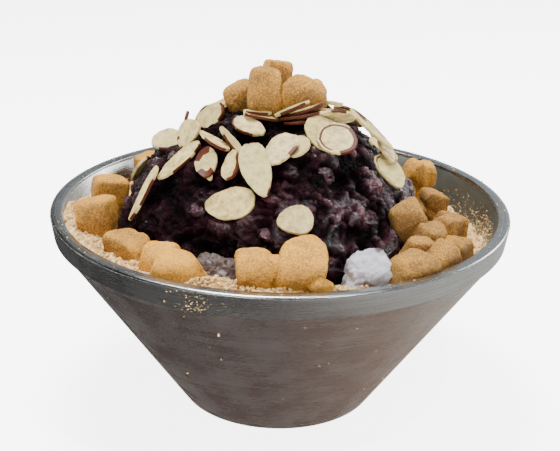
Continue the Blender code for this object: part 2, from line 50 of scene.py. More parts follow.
# The camera stands straight in front, raised above the level and tipped a little to one side. The
# view's own right, up and back follow as ways in space.
CAMERA_RAISE = math.radians(21.5)
CAMERA_TIP = math.radians(1.2)
CAMERA_REACH = 499.0          # from the point on the bowl's axis that it looks at ...
CAMERA_MARK = 74.3            # ... and the height of that point
CAMERA_LENS = 76.0
SEEN_BACK = np.array((0.0, -math.cos(CAMERA_RAISE), math.sin(CAMERA_RAISE)))
LEVEL_UP = np.array((0.0, math.sin(CAMERA_RAISE), math.cos(CAMERA_RAISE)))
LEVEL_RIGHT = np.array((1.0, 0.0, 0.0))
SEEN_RIGHT = LEVEL_RIGHT * math.cos(CAMERA_TIP) + LEVEL_UP * math.sin(CAMERA_TIP)
SEEN_UP = LEVEL_UP * math.cos(CAMERA_TIP) - LEVEL_RIGHT * math.sin(CAMERA_TIP)

LIGHT_MARK = Vector((0.0, 0.0, 0.08))          # the lamps point here, in metres

# --- The bowl -------------------------------------------------------------------------------------
RIM_RADIUS = 95.0
RIM_TOP = 85.0
LIP_WIDTH = 5.2
LIP_ROUND = 1.1
BAND_HEIGHT = 9.0
BAND_TAPER = 1.2
BAND_STEP = 1.1
FOOT_RADIUS = 41.2
FOOT_ROUND = 3.0
FOOT_RING_INNER = 31.0
FOOT_RECESS = 1.2
CONE_TOP_RADIUS = RIM_RADIUS - BAND_TAPER - BAND_STEP
CONE_TOP = RIM_TOP - BAND_HEIGHT - 0.4
CONE_SLOPE = (CONE_TOP_RADIUS - FOOT_RADIUS) / CONE_TOP
WELL_FLOOR = 6.5
WELL_ROUND = 6.0

# --- The beds, by the part's own formulas --------------------------------------------------------
ICE_MIDDLE = 75.0
ICE_RISE_FRONT = 6.5
ICE_RISE_LEFT = 2.5
WALL_REACH = 86.0
ICE_CHUNKS = (
    ("front", (31.0, -72.0, 82.0), (15.0, 14.0, 19.0), (10, -8, 20), 0.25, 5),
    ("front_left", (-24.0, -66.0, 79.5), (19.0, 15.0, 15.0), (0, 6, -15), 0.20, 9),
)
# How brown each chunk is, and how much browner towards its lower right. On the front chunk this is powder; on
# the front-left chunk it is soaked juice and powder and also painted shade, as the chunk lies in shade under
# the beans.
CHUNK_STAIN_AND_SHADE = {"front": (-0.15, 0.5), "front_left": (1.8, 0.0)}
CHUNK_LEAN = 0.18
HEAP_TOP = 128.0
HEAP_FOOT = 6.0
HEAP_LUMP = 0.9
HEAP_FULLNESS = 0.85          # power of the dome's fall: the lower, the fuller ...
HEAP_LEAN = 0.10              # ... and how much fuller the left is than the right
TOE_POWER = 6
HEAP_EDGE = (
    (-180, 67), (-165, 68), (-150, 73), (-135, 71), (-121, 65), (-110, 65), (-99, 73), (-88, 75),
    (-70, 75), (-62, 73), (-50, 73), (-30, 66), (-10, 64), (10, 63.5), (35, 66), (60, 68),
    (90, 67), (120, 67), (150, 68),
)
SPILL_AZIMUTH = -76.0
SPILL_REACH = 12.0
SPILL_WIDTH = 6.0
BEANS = 95                    # whole ones, of which those under a slice are left out
BEAN_SIZE = (3.7, 2.6, 2.4)   # half its length, width and height
POWDER_START = -56.0
POWDER_SWEEP = 306.0
POWDER_LUMP = 0.8
POWDER_SAG = 9.0
POWDER_SAG_POWER = 4
POWDER_LEVEL = (
    (-180, 82.5), (-168, 84.3), (-150, 84.6), (-110, 84.3), (-56, 83.5), (-40, 82.0), (-20, 78.0),
    (0, 74.5), (15, 73.0), (28, 71.5), (60, 71.5), (110, 72.0), (140, 75.0), (165, 79.0),
)

# Powder on the steel: azimuth and its spread, lowest and highest place, number of grains.
WALL_DUST = ((-8.0, 13.0, 72.0, 82.5, 900), (-28.0, 10.0, 76.0, 83.0, 300),
             (178.0, 14.0, 76.0, 84.0, 300), (20.0, 30.0, 70.0, 83.0, 250))
LIP_DUST = 150
SPLASH_DUST = 90              # a splash of dried specks on the band in front ...
SPLASH_AZIMUTH = -108.0       # ... and where it is
CONE_DUST = 60
BED_CRUMBS = 3200
DRIFT_CRUMBS = 900
DRIFT_START = -112.0
DRIFT_END = -52.0

# Rice cakes: name, centre, sizes, turns, taper (narrower on top), form number. A further number is
# added to the form number for the depths of the cuts.
DEPTH_NUMBERS = 500
RICE_CAKES = (
    ("crown_left", (-7.5, -5.0, 133.5), (13.5, 12.0, 22.0), (4, 2, 5), 0.12, 1),
    ("crown_right", (7.0, -3.5, 130.5), (20.0, 12.0, 18.0), (4, 28, -8), 0.40, 2),
    ("crown_back", (-2.5, 9.0, 134.0), (13.0, 10.0, 17.5), (-6, 8, 15), 0.25, 3),
    ("crown_far", (12.0, 9.5, 129.0), (12.0, 10.0, 12.0), (0, -8, 20), 0.10, 4),
    ("crown_side", (-17.5, 7.5, 127.5), (13.5, 11.0, 12.0), (5, -22, 10), 0.20, 5),
    ("left_upper", (-72.4, 4.0, 87.0), (15.0, 13.0, 14.0), (8, 8, 20), 0.15, 6),
    ("left_big", (-72.5, -26.5, 86.0), (14.5, 14.0, 17.0), (-6, -10, -15), -0.10, 7),
    ("left_low", (-57.5, -49.0, 83.6), (19.5, 14.0, 11.0), (6, 4, -35), 0.20, 8),
    ("front_big", (-36.0, -73.8, 84.2), (21.0, 11.5, 16.0), (12, 4, -12), 0.55, 10),
    ("front_round", (-43.6, -65.1, 84.5), (15.5, 12.5, 14.0), (8, -6, -30), 0.25, 9),
    ("centre_left", (-8.3, -77.8, 87.6), (14.0, 12.0, 16.0), (6, -4, 5), 0.05, 11),
    ("centre_low", (-0.2, -78.5, 86.5), (11.0, 9.0, 15.5), (10, 5, -8), 0.10, 12),
    ("centre_tall", (8.0, -80.0, 91.5), (17.5, 10.5, 22.5), (8, 8, 4), 0.05, 31),
    ("centre_flat", (15.0, -84.0, 85.0), (8.5, 7.0, 6.5), (0, 32, 10), 0.10, 14),
    ("right_front", (49.0, -68.0, 85.4), (19.5, 13.0, 13.5), (14, 8, 34), 0.40, 15),
    ("right_facet", (60.0, -57.0, 84.0), (13.5, 12.0, 12.5), (10, -14, 42), 0.30, 16),
    ("right_wedge", (52.4, -54.2, 86.8), (13.0, 9.0, 8.5), (12, 12, 30), 0.20, 17),
    ("right_leaning", (49.0, -39.0, 92.5), (14.5, 11.5, 17.0), (12, -14, 20), 0.15, 18),
    ("right_middle", (57.6, -41.0, 86.0), (17.0, 12.0, 13.0), (14, 16, 30), 0.20, 19),
    ("right_upper", (64.8, -28.5, 84.2), (13.0, 11.5, 14.0), (6, 14, 50), 0.20, 20),
    ("right_dusty", (68.6, -21.0, 83.0), (11.0, 12.0, 12.5), (0, 12, 20), 0.20, 21),
    ("right_outer", (67.6, -45.0, 83.0), (10.5, 11.5, 11.5), (4, -8, 55), 0.20, 22),
    ("right_double", (64.6, 12.0, 80.0), (11.5, 11.0, 14.5), (4, 14, 15), 0.10, 23),
    ("far_right", (62.8, 39.0, 85.4), (15.0, 11.0, 12.0), (-4, 14, 20), 0.10, 24),
    ("far_right_low", (60.5, 43.0, 76.5), (14.5, 12.5, 10.5), (6, -8, 30), 0.00, 25),
    ("back_right", (46.0, 60.5, 80.0), (15.0, 13.0, 12.5), (-8, 6, 40), 0.10, 26),
    ("back_left", (-31.0, 70.5, 79.5), (16.0, 12.5, 13.0), (-10, -8, -15), 0.20, 27),
    ("back_left_upper", (-45.0, 60.5, 82.0), (14.0, 14.0, 12.0), (-6, 14, 25), 0.10, 28),
    ("back_left_outer", (-59.0, 48.5, 82.5), (15.5, 12.0, 13.5), (8, -12, -40), 0.20, 29),
    ("back_left_flat", (-17.0, 75.0, 76.5), (12.0, 10.0, 9.0), (0, 10, 20), 0.00, 30),
)

# How much powder is on a cake, by the first word of its name: the front ones are thickly coated,
# those on the right nearly bare.
DUSTING = {"front": 0.74, "centre": 0.52, "crown": 0.22, "right": 0.05, "left": 0.34}
BACK_DUSTING = 0.40

# Waists that give a cake two lobes: the way across the waist, its offset, width and depth.
CLEFTS = {
    "far_right": ((1.0, 0.0, 0.4), 1.6, 1.8, 0.20),
    "right_double": ((0.3, 0.0, 1.0), -0.8, 1.8, 0.20),
    "crown_right": ((1.0, 0.0, 0.3), 4.5, 1.6, 0.07),
    "right_upper": ((1.0, 0.3, 0.0), 0.5, 1.6, 0.10),
    "left_low": ((1.0, 0.0, 0.3), 2.0, 2.0, 0.12),
}

# Almond slices: name, azimuth, radius, heading, roll, pitch, length, width, taper, camber, lift.
ALMOND_THICK = 1.2
ALMONDS = (
    ("left_round", 180, 45, -120, 45, 0, 14.0, 12.5, 0.05, 0.3, 2.5),
    ("left_far", 170, 39, -75, -40, 0, 14.0, 9.0, 0.10, 0.3, 2.0),
    ("left_spotted", -160, 38, 120, 40, 0, 15.0, 11.0, 0.15, 0.3, 2.0),
    ("left_skinned", -175, 28, -45, -40, 0, 16.0, 11.0, 0.15, 0.5, 2.0),
    ("left_long", -145, 48, 0, 0, 0, 22.0, 8.0, 0.20, 0.5, None),
    ("left_cupped", -130, 44, 45, 10, 0, 13.0, 9.0, 0.10, 1.2, None),
    ("left_pointed", -135, 37, -105, 45, 0, 21.0, 7.0, 0.35, 0.5, 0.8),
    ("left_sliver", -125, 34, -105, 40, 0, 16.0, 5.0, 0.30, 0.4, 2.4),
    ("left_steep", -145, 61, 15, 20, 0, 24.0, 7.5, 0.20, 0.6, 1.6),
    ("left_edge", 175, 58, -15, 20, 0, 14.0, 7.0, 0.20, 0.4, 1.2),
    ("front_half", -115, 42, -165, -20, 0, 13.5, 8.0, 0.20, 0.8, 0.8),
    ("front_upper", -120, 25, 75, -10, 0, 16.0, 9.0, 0.25, 0.5, 1.4),
    ("front_square", -80, 34, 165, -20, 0, 13.0, 10.0, 0.05, 0.3, 0.9),
    ("front_skinned", -90, 37, -30, 0, 0, 18.0, 11.0, 0.15, 0.4, None),
    ("front_upright", -100, 46, 15, 0, 10, 25.0, 11.2, 0.25, 0.4, None),
    ("front_oval", -110, 52, -90, 0, 0, 21.0, 13.0, 0.12, 0.3, 2.2),
    ("front_drop", -85, 61, -75, 10, 0, 13.5, 12.0, 0.25, 0.4, 1.1),
    ("right_pale", -55, 29, -165, -10, 0, 20.0, 16.0, 0.10, 0.4, 1.4),
    ("right_capped", -55, 35, 0, 25, 0, 17.5, 15.0, 0.05, 0.8, None),
    ("right_far", 30, 31, -30, -30, 0, 15.0, 10.0, 0.15, 0.4, 2.0),
    ("right_finger", 20, 38, -15, 20, 15, 13.0, 5.0, 0.20, 0.3, 2.2),
    ("right_ridged", -20, 45, -30, 25, 0, 19.0, 12.0, 0.15, 0.6, 1.4),
    ("right_behind", -10, 40, -45, 5, 0, 12.0, 9.0, 0.10, 0.4, 0.6),
    ("right_oval", 5, 41, -45, 25, 0, 16.0, 10.5, 0.20, 0.4, 2.2),
    ("right_steep", -10, 33, -15, 10, 0, 24.0, 8.0, 0.20, 0.4, 2.4),
    ("back_flat", 80, 40, 45, 0, 0, 19.0, 11.0, 0.20, 0.4, 1.2),
)

RIDGED = {"slice_right_ridged": 0.3}

# Brown skin on the slices: name and patches, each as the angle at which it lies on the edge, seen
# from the front (0 right, 90 up), its half width, and where it starts and ends from middle to edge.
ALMOND_SKINS = {
    "left_round": ((95, 50, 0.94, 1), (275, 40, 0.88, 1)),
    "left_spotted": ((205, 16, 0.72, 1), (250, 12, 0.85, 1)),
    "left_far": ((60, 60, 0.93, 1),),
    "left_skinned": ((15, 50, 0.86, 1),),
    "left_pointed": ((-50, 40, 0.86, 1), (200, 30, 0.95, 1)),
    "left_sliver": ((-50, 30, 0.85, 1), (200, 40, 0.93, 1)),
    "left_long": ((35, 25, 0.93, 1), (-60, 30, 0.95, 1)),
    "left_cupped": ((115, 55, 0.62, 1), (265, 60, 0.52, 1)),
    "left_steep": ((-112, 20, 0.84, 1), (10, 35, 0.88, 1)),
    "left_edge": ((45, 60, 0.90, 1),),
    "front_half": ((0, 60, 0.62, 1), (-90, 30, 0.85, 1)),
    "front_upper": ((165, 45, 0.90, 1), (235, 35, 0.86, 1)),
    "front_square": (),
    "front_skinned": ((-15, 26, 0.70, 1), (60, 30, 0.97, 1)),
    "front_upright": ((-60, 20, 0.95, 1), (100, 25, 0.96, 1)),
    "front_oval": ((100, 60, 0.95, 1),),
    "front_drop": ((165, 15, 0.95, 1), (20, 30, 0.97, 1)),
    "right_pale": ((60, 40, 0.95, 1),),
    "right_capped": ((-20, 75, 0.80, 1), (150, 110, 0.80, 0.88)),
    "right_far": ((100, 40, 0.90, 1),),
    "right_finger": ((-20, 30, 0.86, 1), (100, 50, 0.92, 1)),
    "right_ridged": ((175, 80, 0.82, 0.88),),
    "right_behind": ((-30, 50, 0.92, 1),),
    "right_oval": ((225, 40, 0.90, 1),),
    "right_steep": ((130, 30, 0.45, 1), (40, 50, 0.80, 1)),
    "back_flat": ((10, 60, 0.90, 1), (150, 30, 0.80, 1)),
}

# More slices and broken bits, as the rows above without a name: the sides and the back.
SCATTERED = (
    (52, 27, 30, 12, 0, 20.0, 11.0, 0.18, 0.4, 0.8),
    (68, 50, -60, -14, 0, 21.0, 10.5, 0.22, 0.4, 0.8),
    (95, 24, 100, 8, 0, 18.0, 11.0, 0.12, 0.5, 0.8),
    (104, 44, 15, 18, 0, 22.0, 10.0, 0.20, 0.4, 0.8),
    (122, 30, -35, -10, 0, 19.0, 12.0, 0.10, 0.4, 0.8),
    (128, 53, 80, 10, 0, 21.0, 11.0, 0.20, 0.5, 0.8),
    (142, 40, -10, 30, 0, 17.0, 9.0, 0.20, 0.4, 1.6),
    (158, 25, 60, -16, 0, 20.0, 10.0, 0.20, 0.4, 0.8),
    (30, 48, -80, 12, 0, 20.0, 11.0, 0.15, 0.4, 0.8),
    (16, 55, 20, -20, 0, 18.0, 9.5, 0.25, 0.4, 1.0),
    (84, 60, 50, 6, 0, 16.0, 10.0, 0.10, 0.4, 0.8),
    (-127, 46, 70, 0, 0, 5.5, 3.0, 0.10, 0.1, 0.7),
    (112, 35, 0, 10, 0, 5.5, 3.5, 0.10, 0.1, 0.7),
    (75, 36, 60, 0, 0, 5.0, 3.0, 0.10, 0.1, 0.7),
)

# The fan of slices tucked in under the top rice cakes: middle, heading about Z, rise, nod towards
# the front, length, width, taper, and the skin as above.
FAN = (
    ((-10.0, -13.0, 127.0), 0, -5, 10, 11.0, 8.0, 0.20, ((-90, 60, 0.90, 1),)),
    ((-8.0, -16.0, 126.0), 0, -10, 10, 15.0, 9.0, 0.20, ((-90, 80, 0.88, 1),)),
    ((4.0, -15.0, 129.5), 0, 25, 10, 15.0, 7.5, 0.25, ((-60, 50, 0.94, 1),)),
    ((9.0, -14.0, 128.5), 5, 20, 10, 16.0, 9.0, 0.20, ((-90, 120, 0.45, 0.99),)),
    ((8.0, -16.0, 127.0), 5, 10, 10, 18.0, 9.5, 0.25, ((-90, 130, 0.40, 0.985),)),
    ((7.0, -18.0, 125.0), 10, 5, 10, 13.0, 8.0, 0.20, ((-90, 130, 0.40, 1),)),
    ((16.0, -9.0, 127.5), 20, -5, 15, 12.0, 7.0, 0.20, ((0, 40, 0.85, 1),)),
    ((20.0, -4.0, 129.0), 15, -10, 10, 9.0, 5.0, 0.30, ((0, 50, 0.60, 1),)),
    ((21.0, -14.0, 126.0), 10, -5, 40, 16.5, 12.0, 0.10, ((60, 30, 0.95, 1),)),
)


# ======================================= Shapes =====================================================

def polar(reach, azimuth, z):
    """Points at a radius, an azimuth in degrees and a height."""
    turn = np.radians(azimuth)
    return np.stack(np.broadcast_arrays(reach * np.cos(turn), reach * np.sin(turn), z), axis=-1)


def around(azimuth, table):
    """A value read round the bowl from a table of azimuth and value, eased between its entries."""
    marks, values = np.array(table, float).T
    marks = np.append(marks, marks[0] + 360.0)
    values = np.append(values, values[0])
    turn = (np.asarray(azimuth, float) - marks[0]) % 360.0 + marks[0]
    left = np.clip(np.searchsorted(marks, turn, side="right") - 1, 0, len(marks) - 2)
    part = (turn - marks[left]) / (marks[left + 1] - marks[left])
    ease = (1.0 - np.cos(np.pi * part)) / 2.0
    return values[left] + (values[left + 1] - values[left]) * ease


def well_radius(z):
    """Radius of the bowl's inner wall at a height."""
    return RIM_RADIUS - LIP_WIDTH - (RIM_TOP - 1.0 - z) * CONE_SLOPE


def swell(x, y, number):
    """Gentle swellings from -1 to 1: three crossed waves, shifted by a number."""
    return (np.sin(0.31 * x + 0.17 * y + number) + np.sin(0.11 * x - 0.29 * y + 2.1 * number)
            + np.sin(0.23 * x - 0.37 * y + 3.7 * number)) / 3.0


def ice_level(x, y):
    """Top of the ice bed outside the heap: a tilted plane."""
    return ICE_MIDDLE - (ICE_RISE_FRONT * y + ICE_RISE_LEFT * x) / WALL_REACH


def heap_edge(azimuth):
    """Radius of the heap's edge, with the spilled tongue."""
    spill = SPILL_REACH * np.exp(-((np.asarray(azimuth) - SPILL_AZIMUTH) / SPILL_WIDTH) ** 2)
    return around(azimuth, HEAP_EDGE) + spill


def heap_height(x, y):
    """Top of the heap: a dome that is fuller on the left, or its blunt foot where that is higher."""
    azimuth = np.degrees(np.arctan2(y, x))
    reach = np.hypot(x, y)
    body = np.clip(reach / around(azimuth, HEAP_EDGE), 0.0, 1.0)
    edge = heap_edge(azimuth)
    foot = ice_level(x / np.maximum(reach, 1e-6) * edge, y / np.maximum(reach, 1e-6) * edge) + 0.3
    fullness = HEAP_FULLNESS + HEAP_LEAN * np.cos(np.radians(azimuth))
    dome = (HEAP_TOP - foot) * (1.0 - body ** 2) ** fullness
    toe = HEAP_FOOT * np.sqrt(np.clip(1.0 - (reach / edge) ** TOE_POWER, 0.0, 1.0))
    lump = HEAP_LUMP * swell(x, y, 1.0) * np.clip((edge - reach) / 10.0, 0.0, 1.0)
    return foot + np.maximum(dome, toe) + lump


def heap_slope(x, y, step):
    """How steeply the heap rises along X and along Y, taken over a step to each side."""
    return ((heap_height(x + step, y) - heap_height(x - step, y)) / (2.0 * step),
            (heap_height(x, y + step) - heap_height(x, y - step)) / (2.0 * step))


def powder_height(azimuth, reach):
    """Top of the powder: level at the wall, sagging a little towards the heap."""
    flat = polar(reach, azimuth, 0.0)
    level = around(azimuth, POWDER_LEVEL)
    sag = POWDER_SAG * (1.0 - (reach / well_radius(level)) ** POWDER_SAG_POWER)
    return level - sag + POWDER_LUMP * swell(flat[..., 0], flat[..., 1], 4.0)


def scatter_value(corner, seed):
    """A fixed number from -1 to 1 for each whole-number corner: its bits stirred with a seed."""
    mixed = (corner[:, 0] * 73856093) ^ (corner[:, 1] * 19349663) ^ (corner[:, 2] * 83492791)
    mixed = (mixed ^ (seed * 2654435761)) & 0xFFFFFFFF
    mixed = ((mixed ^ (mixed >> 15)) * 0x2C1B3C6D) & 0xFFFFFFFF
    mixed = ((mixed ^ (mixed >> 12)) * 0x297A2D39) & 0xFFFFFFFF
    return (mixed ^ (mixed >> 15)) / 2147483647.5 - 1.0


def waves(points, size, seed):
    """Smooth random waves from -1 to 1: values at the corners of cubes of a size, eased between."""
    place = points / size
    base = np.floor(place).astype(np.int64)
    part = place - base
    part = part * part * (3.0 - 2.0 * part)
    total = np.zeros(len(points))
    for corner in np.ndindex(2, 2, 2):
        weight = np.prod(np.where(np.array(corner), part, 1.0 - part), axis=1)
        total += weight * scatter_value(base + np.array(corner), seed)
    return total


def rough(points, size, seed, layers=3):
    """Random relief: waves of a size, then of half that size at half the height, and so on."""
    return sum(waves(points, size / 2 ** i, seed + i) / 2 ** i for i in range(layers))


def humps(points, size, seed, width=0.6, spread=0.6):
    """Round humps over points scattered one to a cube of a size: from 0 between them to about 1,
    each as wide as a part of that size, and by a spread higher or lower than the next."""
    place = points / size
    base = np.floor(place).astype(np.int64)
    nearest = np.full(len(points), 9.0)
    number = np.zeros(len(points))
    for step in np.ndindex(3, 3, 3):
        cell = base + np.array(step) - 1
        seat = cell + 0.5 + 0.42 * np.stack([scatter_value(cell, seed + i) for i in range(3)], axis=1)
        distance = np.linalg.norm(place - seat, axis=1)
        number = np.where(distance < nearest, scatter_value(cell, seed + 7), number)
        nearest = np.minimum(nearest, distance)
    return np.sqrt(np.clip(1.0 - (nearest / width) ** 2, 0.0, 1.0)) * (0.6 + spread * number)


def soft_block(way, sizes, taper, number):
    """Points of a soft block in the given directions, narrower on top by a taper: a rounded lowest
    reach of its six sides and of slanting cuts that take off its corners."""
    slants = np.random.default_rng(number).normal(size=(6, 3))
    slants /= np.linalg.norm(slants, axis=1)[:, None]
    directions = np.vstack((np.eye(3), -np.eye(3), slants))
    reach = np.linalg.norm(directions * (np.array(sizes) / 2.0), axis=1)
    reach[6:] *= np.random.default_rng(number + DEPTH_NUMBERS).uniform(1.0, 1.18, 6)
    way = way / np.linalg.norm(way, axis=1)[:, None]
    pull = np.clip(way @ directions.T, 0.0, None) / reach
    block = way * (np.sum(pull ** 8.0, axis=1) ** (-1.0 / 8.0))[:, None]
    block[:, :2] *= (1.0 - taper * block[:, 2] / sizes[2])[:, None]
    return block


def turned(points, turns):
    """Points turned about X, then Y, then Z."""
    return points @ np.array(Euler(np.radians(turns)).to_matrix()).T


# ======================================= Blender ====================================================

def linear(colour):
    """An sRGB hex colour as linear red, green, blue and alpha."""
    channels = [int(colour[i:i + 2], 16) / 255.0 for i in (1, 3, 5)]
    return (*[c / 12.92 if c <= 0.04045 else ((c + 0.055) / 1.055) ** 2.4 for c in channels], 1.0)


def feed(tree, node, inputs):
    """Give a node's inputs a value each, or another node's output."""
    for key, value in inputs.items():
        if isinstance(value, bpy.types.NodeSocket):
            tree.links.new(value, node.inputs[key])
        else:
            node.inputs[key].default_value = value


def add(tree, kind, inputs=None, **settings):
    """Add a node with its settings and inputs."""
    made = tree.nodes.new(kind)
    for key, value in settings.items():
        setattr(made, key, value)
    feed(tree, made, inputs or {})
    return made


def own_place(tree):
    """Places on the object itself, in metres."""
    return add(tree, "ShaderNodeTexCoord").outputs["Object"]


def kept(tree, name):
    """A number kept at the mesh's points."""
    return add(tree, "ShaderNodeAttribute", attribute_name=name).outputs["Fac"]


def noise(tree, place, scale, detail, roughness=0.5):
    """A random cloud from 0 to 1, with so many waves to a metre."""
    return add(tree, "ShaderNodeTexNoise", {"Vector": place, "Scale": scale, "Detail": detail,
                                            "Roughness": roughness}).outputs["Fac"]


def ranged(tree, value, start, end, low=0.0, high=1.0, **settings):
    """A value that runs from a start to an end, carried over to run from low to high."""
    return add(tree, "ShaderNodeMapRange", {"Value": value, "From Min": start, "From Max": end,
                                            "To Min": low, "To Max": high}, **settings).outputs["Result"]


def blend(tree, part, first, second):
    """A colour between two, each a hex colour or a node's output."""
    first, second = (linear(c) if isinstance(c, str) else c for c in (first, second))
    return add(tree, "ShaderNodeMixRGB", {"Fac": part, "Color1": first,
                                          "Color2": second}).outputs["Color"]


def worked(tree, *values, **settings):
    """A sum of two values, or what else the settings ask for."""
    return add(tree, "ShaderNodeMath", dict(enumerate(values)), **settings).outputs["Value"]


def relief(tree, shader, height, strength, distance, *more):
    """Bumps as high as a distance in metres, on the shader and its further layers."""
    bump = add(tree, "ShaderNodeBump", {"Height": height, "Strength": strength, "Distance": distance})
    for key in ("Normal", *more):
        tree.links.new(bump.outputs["Normal"], shader.inputs[key])


def new_material(name):
    """A material with its node tree and its Principled shader."""
    made = bpy.data.materials.new(name)
    made.use_nodes = True
    return made, made.node_tree, made.node_tree.nodes["Principled BSDF"]


def tube(total, count, inwards=False, flip=False):
    """Faces of a closed form whose points run ring after ring, so many to a ring: quads between the
    rings, turned over if its rings run inwards, and a face at each end, turned over by a flip."""
    start = count * np.arange(total // count - 1)[:, None]
    column = np.arange(count)[None, :]
    after = (column + 1) % count
    quads = np.stack([start + column, start + after, start + count + after, start + count + column], axis=-1)
    faces = quads.reshape(-1, 4)
    faces = (faces[:, ::-1] if inwards else faces).tolist()
    first, last = list(range(count)), list(range(total - count, total))
    return faces + ([first, last[::-1]] if flip else [first[::-1], last])


def add_mesh(name, points, faces, finish, stands_for=(), values=None):
    """A named piece from points in millimetres and faces, with a finish and values at its points."""
    mesh = bpy.data.meshes.new(name)
    mesh.from_pydata((np.asarray(points) * MM).tolist(), [], [list(face) for face in faces])
    for key, numbers in (values or {}).items():
        layer = mesh.attributes.new(key, "FLOAT", "POINT")
        layer.data.foreach_set("value", np.asarray(numbers, dtype=np.float32))
    mesh.materials.append(finish)
    mesh.shade_smooth()
    piece = bpy.data.objects.new(name, mesh)
    bpy.context.scene.collection.objects.link(piece)
    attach(piece, "root")
    if stands_for:
        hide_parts(*stands_for)
    return piece


def ball(cuts):
    """Directions and faces of a cube with a grid on each face, to be drawn out to a closed form."""
    form = bmesh.new()
    bmesh.ops.create_cube(form, size=2.0)
    if cuts:
        bmesh.ops.subdivide_edges(form, edges=form.edges, cuts=cuts, use_grid_fill=True)
    form.verts.index_update()
    way = np.array([vert.co for vert in form.verts])
    faces = np.array([[vert.index for vert in face.verts] for face in form.faces])
    form.free()
    warped = np.tan(way * (np.pi / 4.0))
    return warped / np.linalg.norm(warped, axis=1)[:, None], faces


def outward(points, faces):
    """The outward way at each point of a closed mesh: the mean of its faces' ways."""
    corner = points[faces]
    side = np.cross(corner[:, 2] - corner[:, 0], corner[:, 3] - corner[:, 1])
    total = np.zeros_like(points)
    for i in range(faces.shape[1]):
        np.add.at(total, faces[:, i], side)
    return total / np.maximum(np.linalg.norm(total, axis=1), 1e-12)[:, None]


# ======================================= Camera, floor and light ====================================

def make_camera():
    """The camera in front of the bowl, a little above it, with a long lens."""
    data = bpy.data.cameras.new("camera")
    data.lens = CAMERA_LENS
    data.sensor_width = 36.0
    data.sensor_fit = "HORIZONTAL"
    camera = bpy.data.objects.new("camera", data)
    turn = Matrix((SEEN_RIGHT, SEEN_UP, SEEN_BACK)).transposed()
    place = Vector((0.0, 0.0, CAMERA_MARK)) + CAMERA_REACH * Vector(SEEN_BACK)
    camera.matrix_world = Matrix.Translation(place * MM) @ turn.to_4x4()
    bpy.context.scene.collection.objects.link(camera)
    bpy.context.scene.camera = camera


def add_sheet(name, finish, left, right, near, far, height):
    """A flat sheet, in metres."""
    mesh = bpy.data.meshes.new(name)
    mesh.from_pydata([(left, near, height), (right, near, height), (right, far, height),
                      (left, far, height)], [], [(0, 1, 2, 3)])
    mesh.materials.append(finish)
    sheet = bpy.data.objects.new(name, mesh)
    bpy.context.scene.collection.objects.link(sheet)
    return sheet


def make_floor():
    """A plain pale floor, wide enough to fill the view, and a glowing card that only the steel mirrors: a
    painted reflection of a brown table.
    """
    pale, tree, shader = new_material("pale_floor")
    feed(tree, shader, {"Base Color": linear("#f7f7f6"), "Roughness": 0.9, "Specular IOR Level": 0.1,
                        "Emission Color": linear("#ffffff"), "Emission Strength": 5.0})
    floor = add_sheet("floor", pale, -4, 4, -3, 6, 0)

    # the card glows, though it is no lamp, with a painted reflection of a brown table in the room's light:
    # dark on the left, pale on the right and greyer away from the bowl
    painted_reflection_finish, tree, shader = new_material("brown_painted_reflection_card")
    place = own_place(tree)
    side = add(tree, "ShaderNodeSeparateXYZ", {"Vector": place}).outputs["X"]
    part = ranged(tree, side, -0.16, 0.16)
    ramps = []
    for colours in (("#1c140e", "#4a3225", "#6c4e42", "#ac8f7b", "#f0ece0"),
                    ("#12120e", "#34312c", "#5c5959", "#9e9a95", "#ecece8")):
        ramps.append(add(tree, "ShaderNodeValToRGB", {"Fac": part}))
        spots = ramps[-1].color_ramp.elements
        spots[0].color = linear(colours[0])
        spots[1].color = linear(colours[4])
        for spot, colour in zip((0.3, 0.5, 0.72), colours[1:4]):
            spots.new(spot).color = linear(colour)
    away = add(tree, "ShaderNodeVectorMath", {0: place}, operation="LENGTH").outputs["Value"]
    tone = blend(tree, ranged(tree, away, 0.10, 0.22), *[ramp.outputs["Color"] for ramp in ramps])
    glow = add(tree, "ShaderNodeEmission", {"Color": tone, "Strength": 1.0})
    tree.links.new(glow.outputs["Emission"], tree.nodes["Material Output"].inputs["Surface"])
    card = add_sheet("painted_reflection_card", painted_reflection_finish, -1.5, 1.5, -1.5, 1.5, 0.0002)
    card.visible_camera = False
    card.visible_diffuse = False
    card.visible_shadow = False
    card.visible_transmission = False


def make_light():
    """Soft studio light: a broad panel above, a weaker one from the front and one from the right, a
    small lamp that glints on what is wet, and a pale room whose left side is dark in the steel."""
    for name, place, size, power in (("panel_above", (-0.12, 0.12, 0.85), 0.34, 13.0),
                                     ("panel_front", (-0.35, -0.9, 0.55), 0.35, 2.5),
                                     ("panel_right", (0.75, 0.55, 0.5), 0.4, 5.0),
                                     ("lamp_glint", (0.25, -0.35, 0.9), 0.012, 3.4)):
        data = bpy.data.lights.new(name, "AREA")
        data.shape = "DISK"
        data.size = size
        data.energy = power
        light = bpy.data.objects.new(name, data)
        way = LIGHT_MARK - Vector(place)
        light.matrix_world = Matrix.Translation(place) @ way.to_track_quat("-Z", "Y").to_matrix().to_4x4()
        bpy.context.scene.collection.objects.link(light)

    world = bpy.data.worlds.new("room")
    bpy.context.scene.world = world
    world.use_nodes = True
    tree = world.node_tree
    place = add(tree, "ShaderNodeTexCoord").outputs["Generated"]
    lean = add(tree, "ShaderNodeVectorMath", {0: place, 1: (1.1, 0.55, -0.9)}, operation="DOT_PRODUCT")
    part = ranged(tree, lean.outputs["Value"], -0.45, 0.5, interpolation_type="SMOOTHSTEP")
    seen = blend(tree, part, "#1b1d19", "#e6f1f8")
    ray = add(tree, "ShaderNodeLightPath").outputs["Is Glossy Ray"]
    feed(tree, tree.nodes["Background"], {"Color": blend(tree, ray, "#dfe0e2", seen), "Strength": 0.8})


# ======================================= Finishes ===================================================

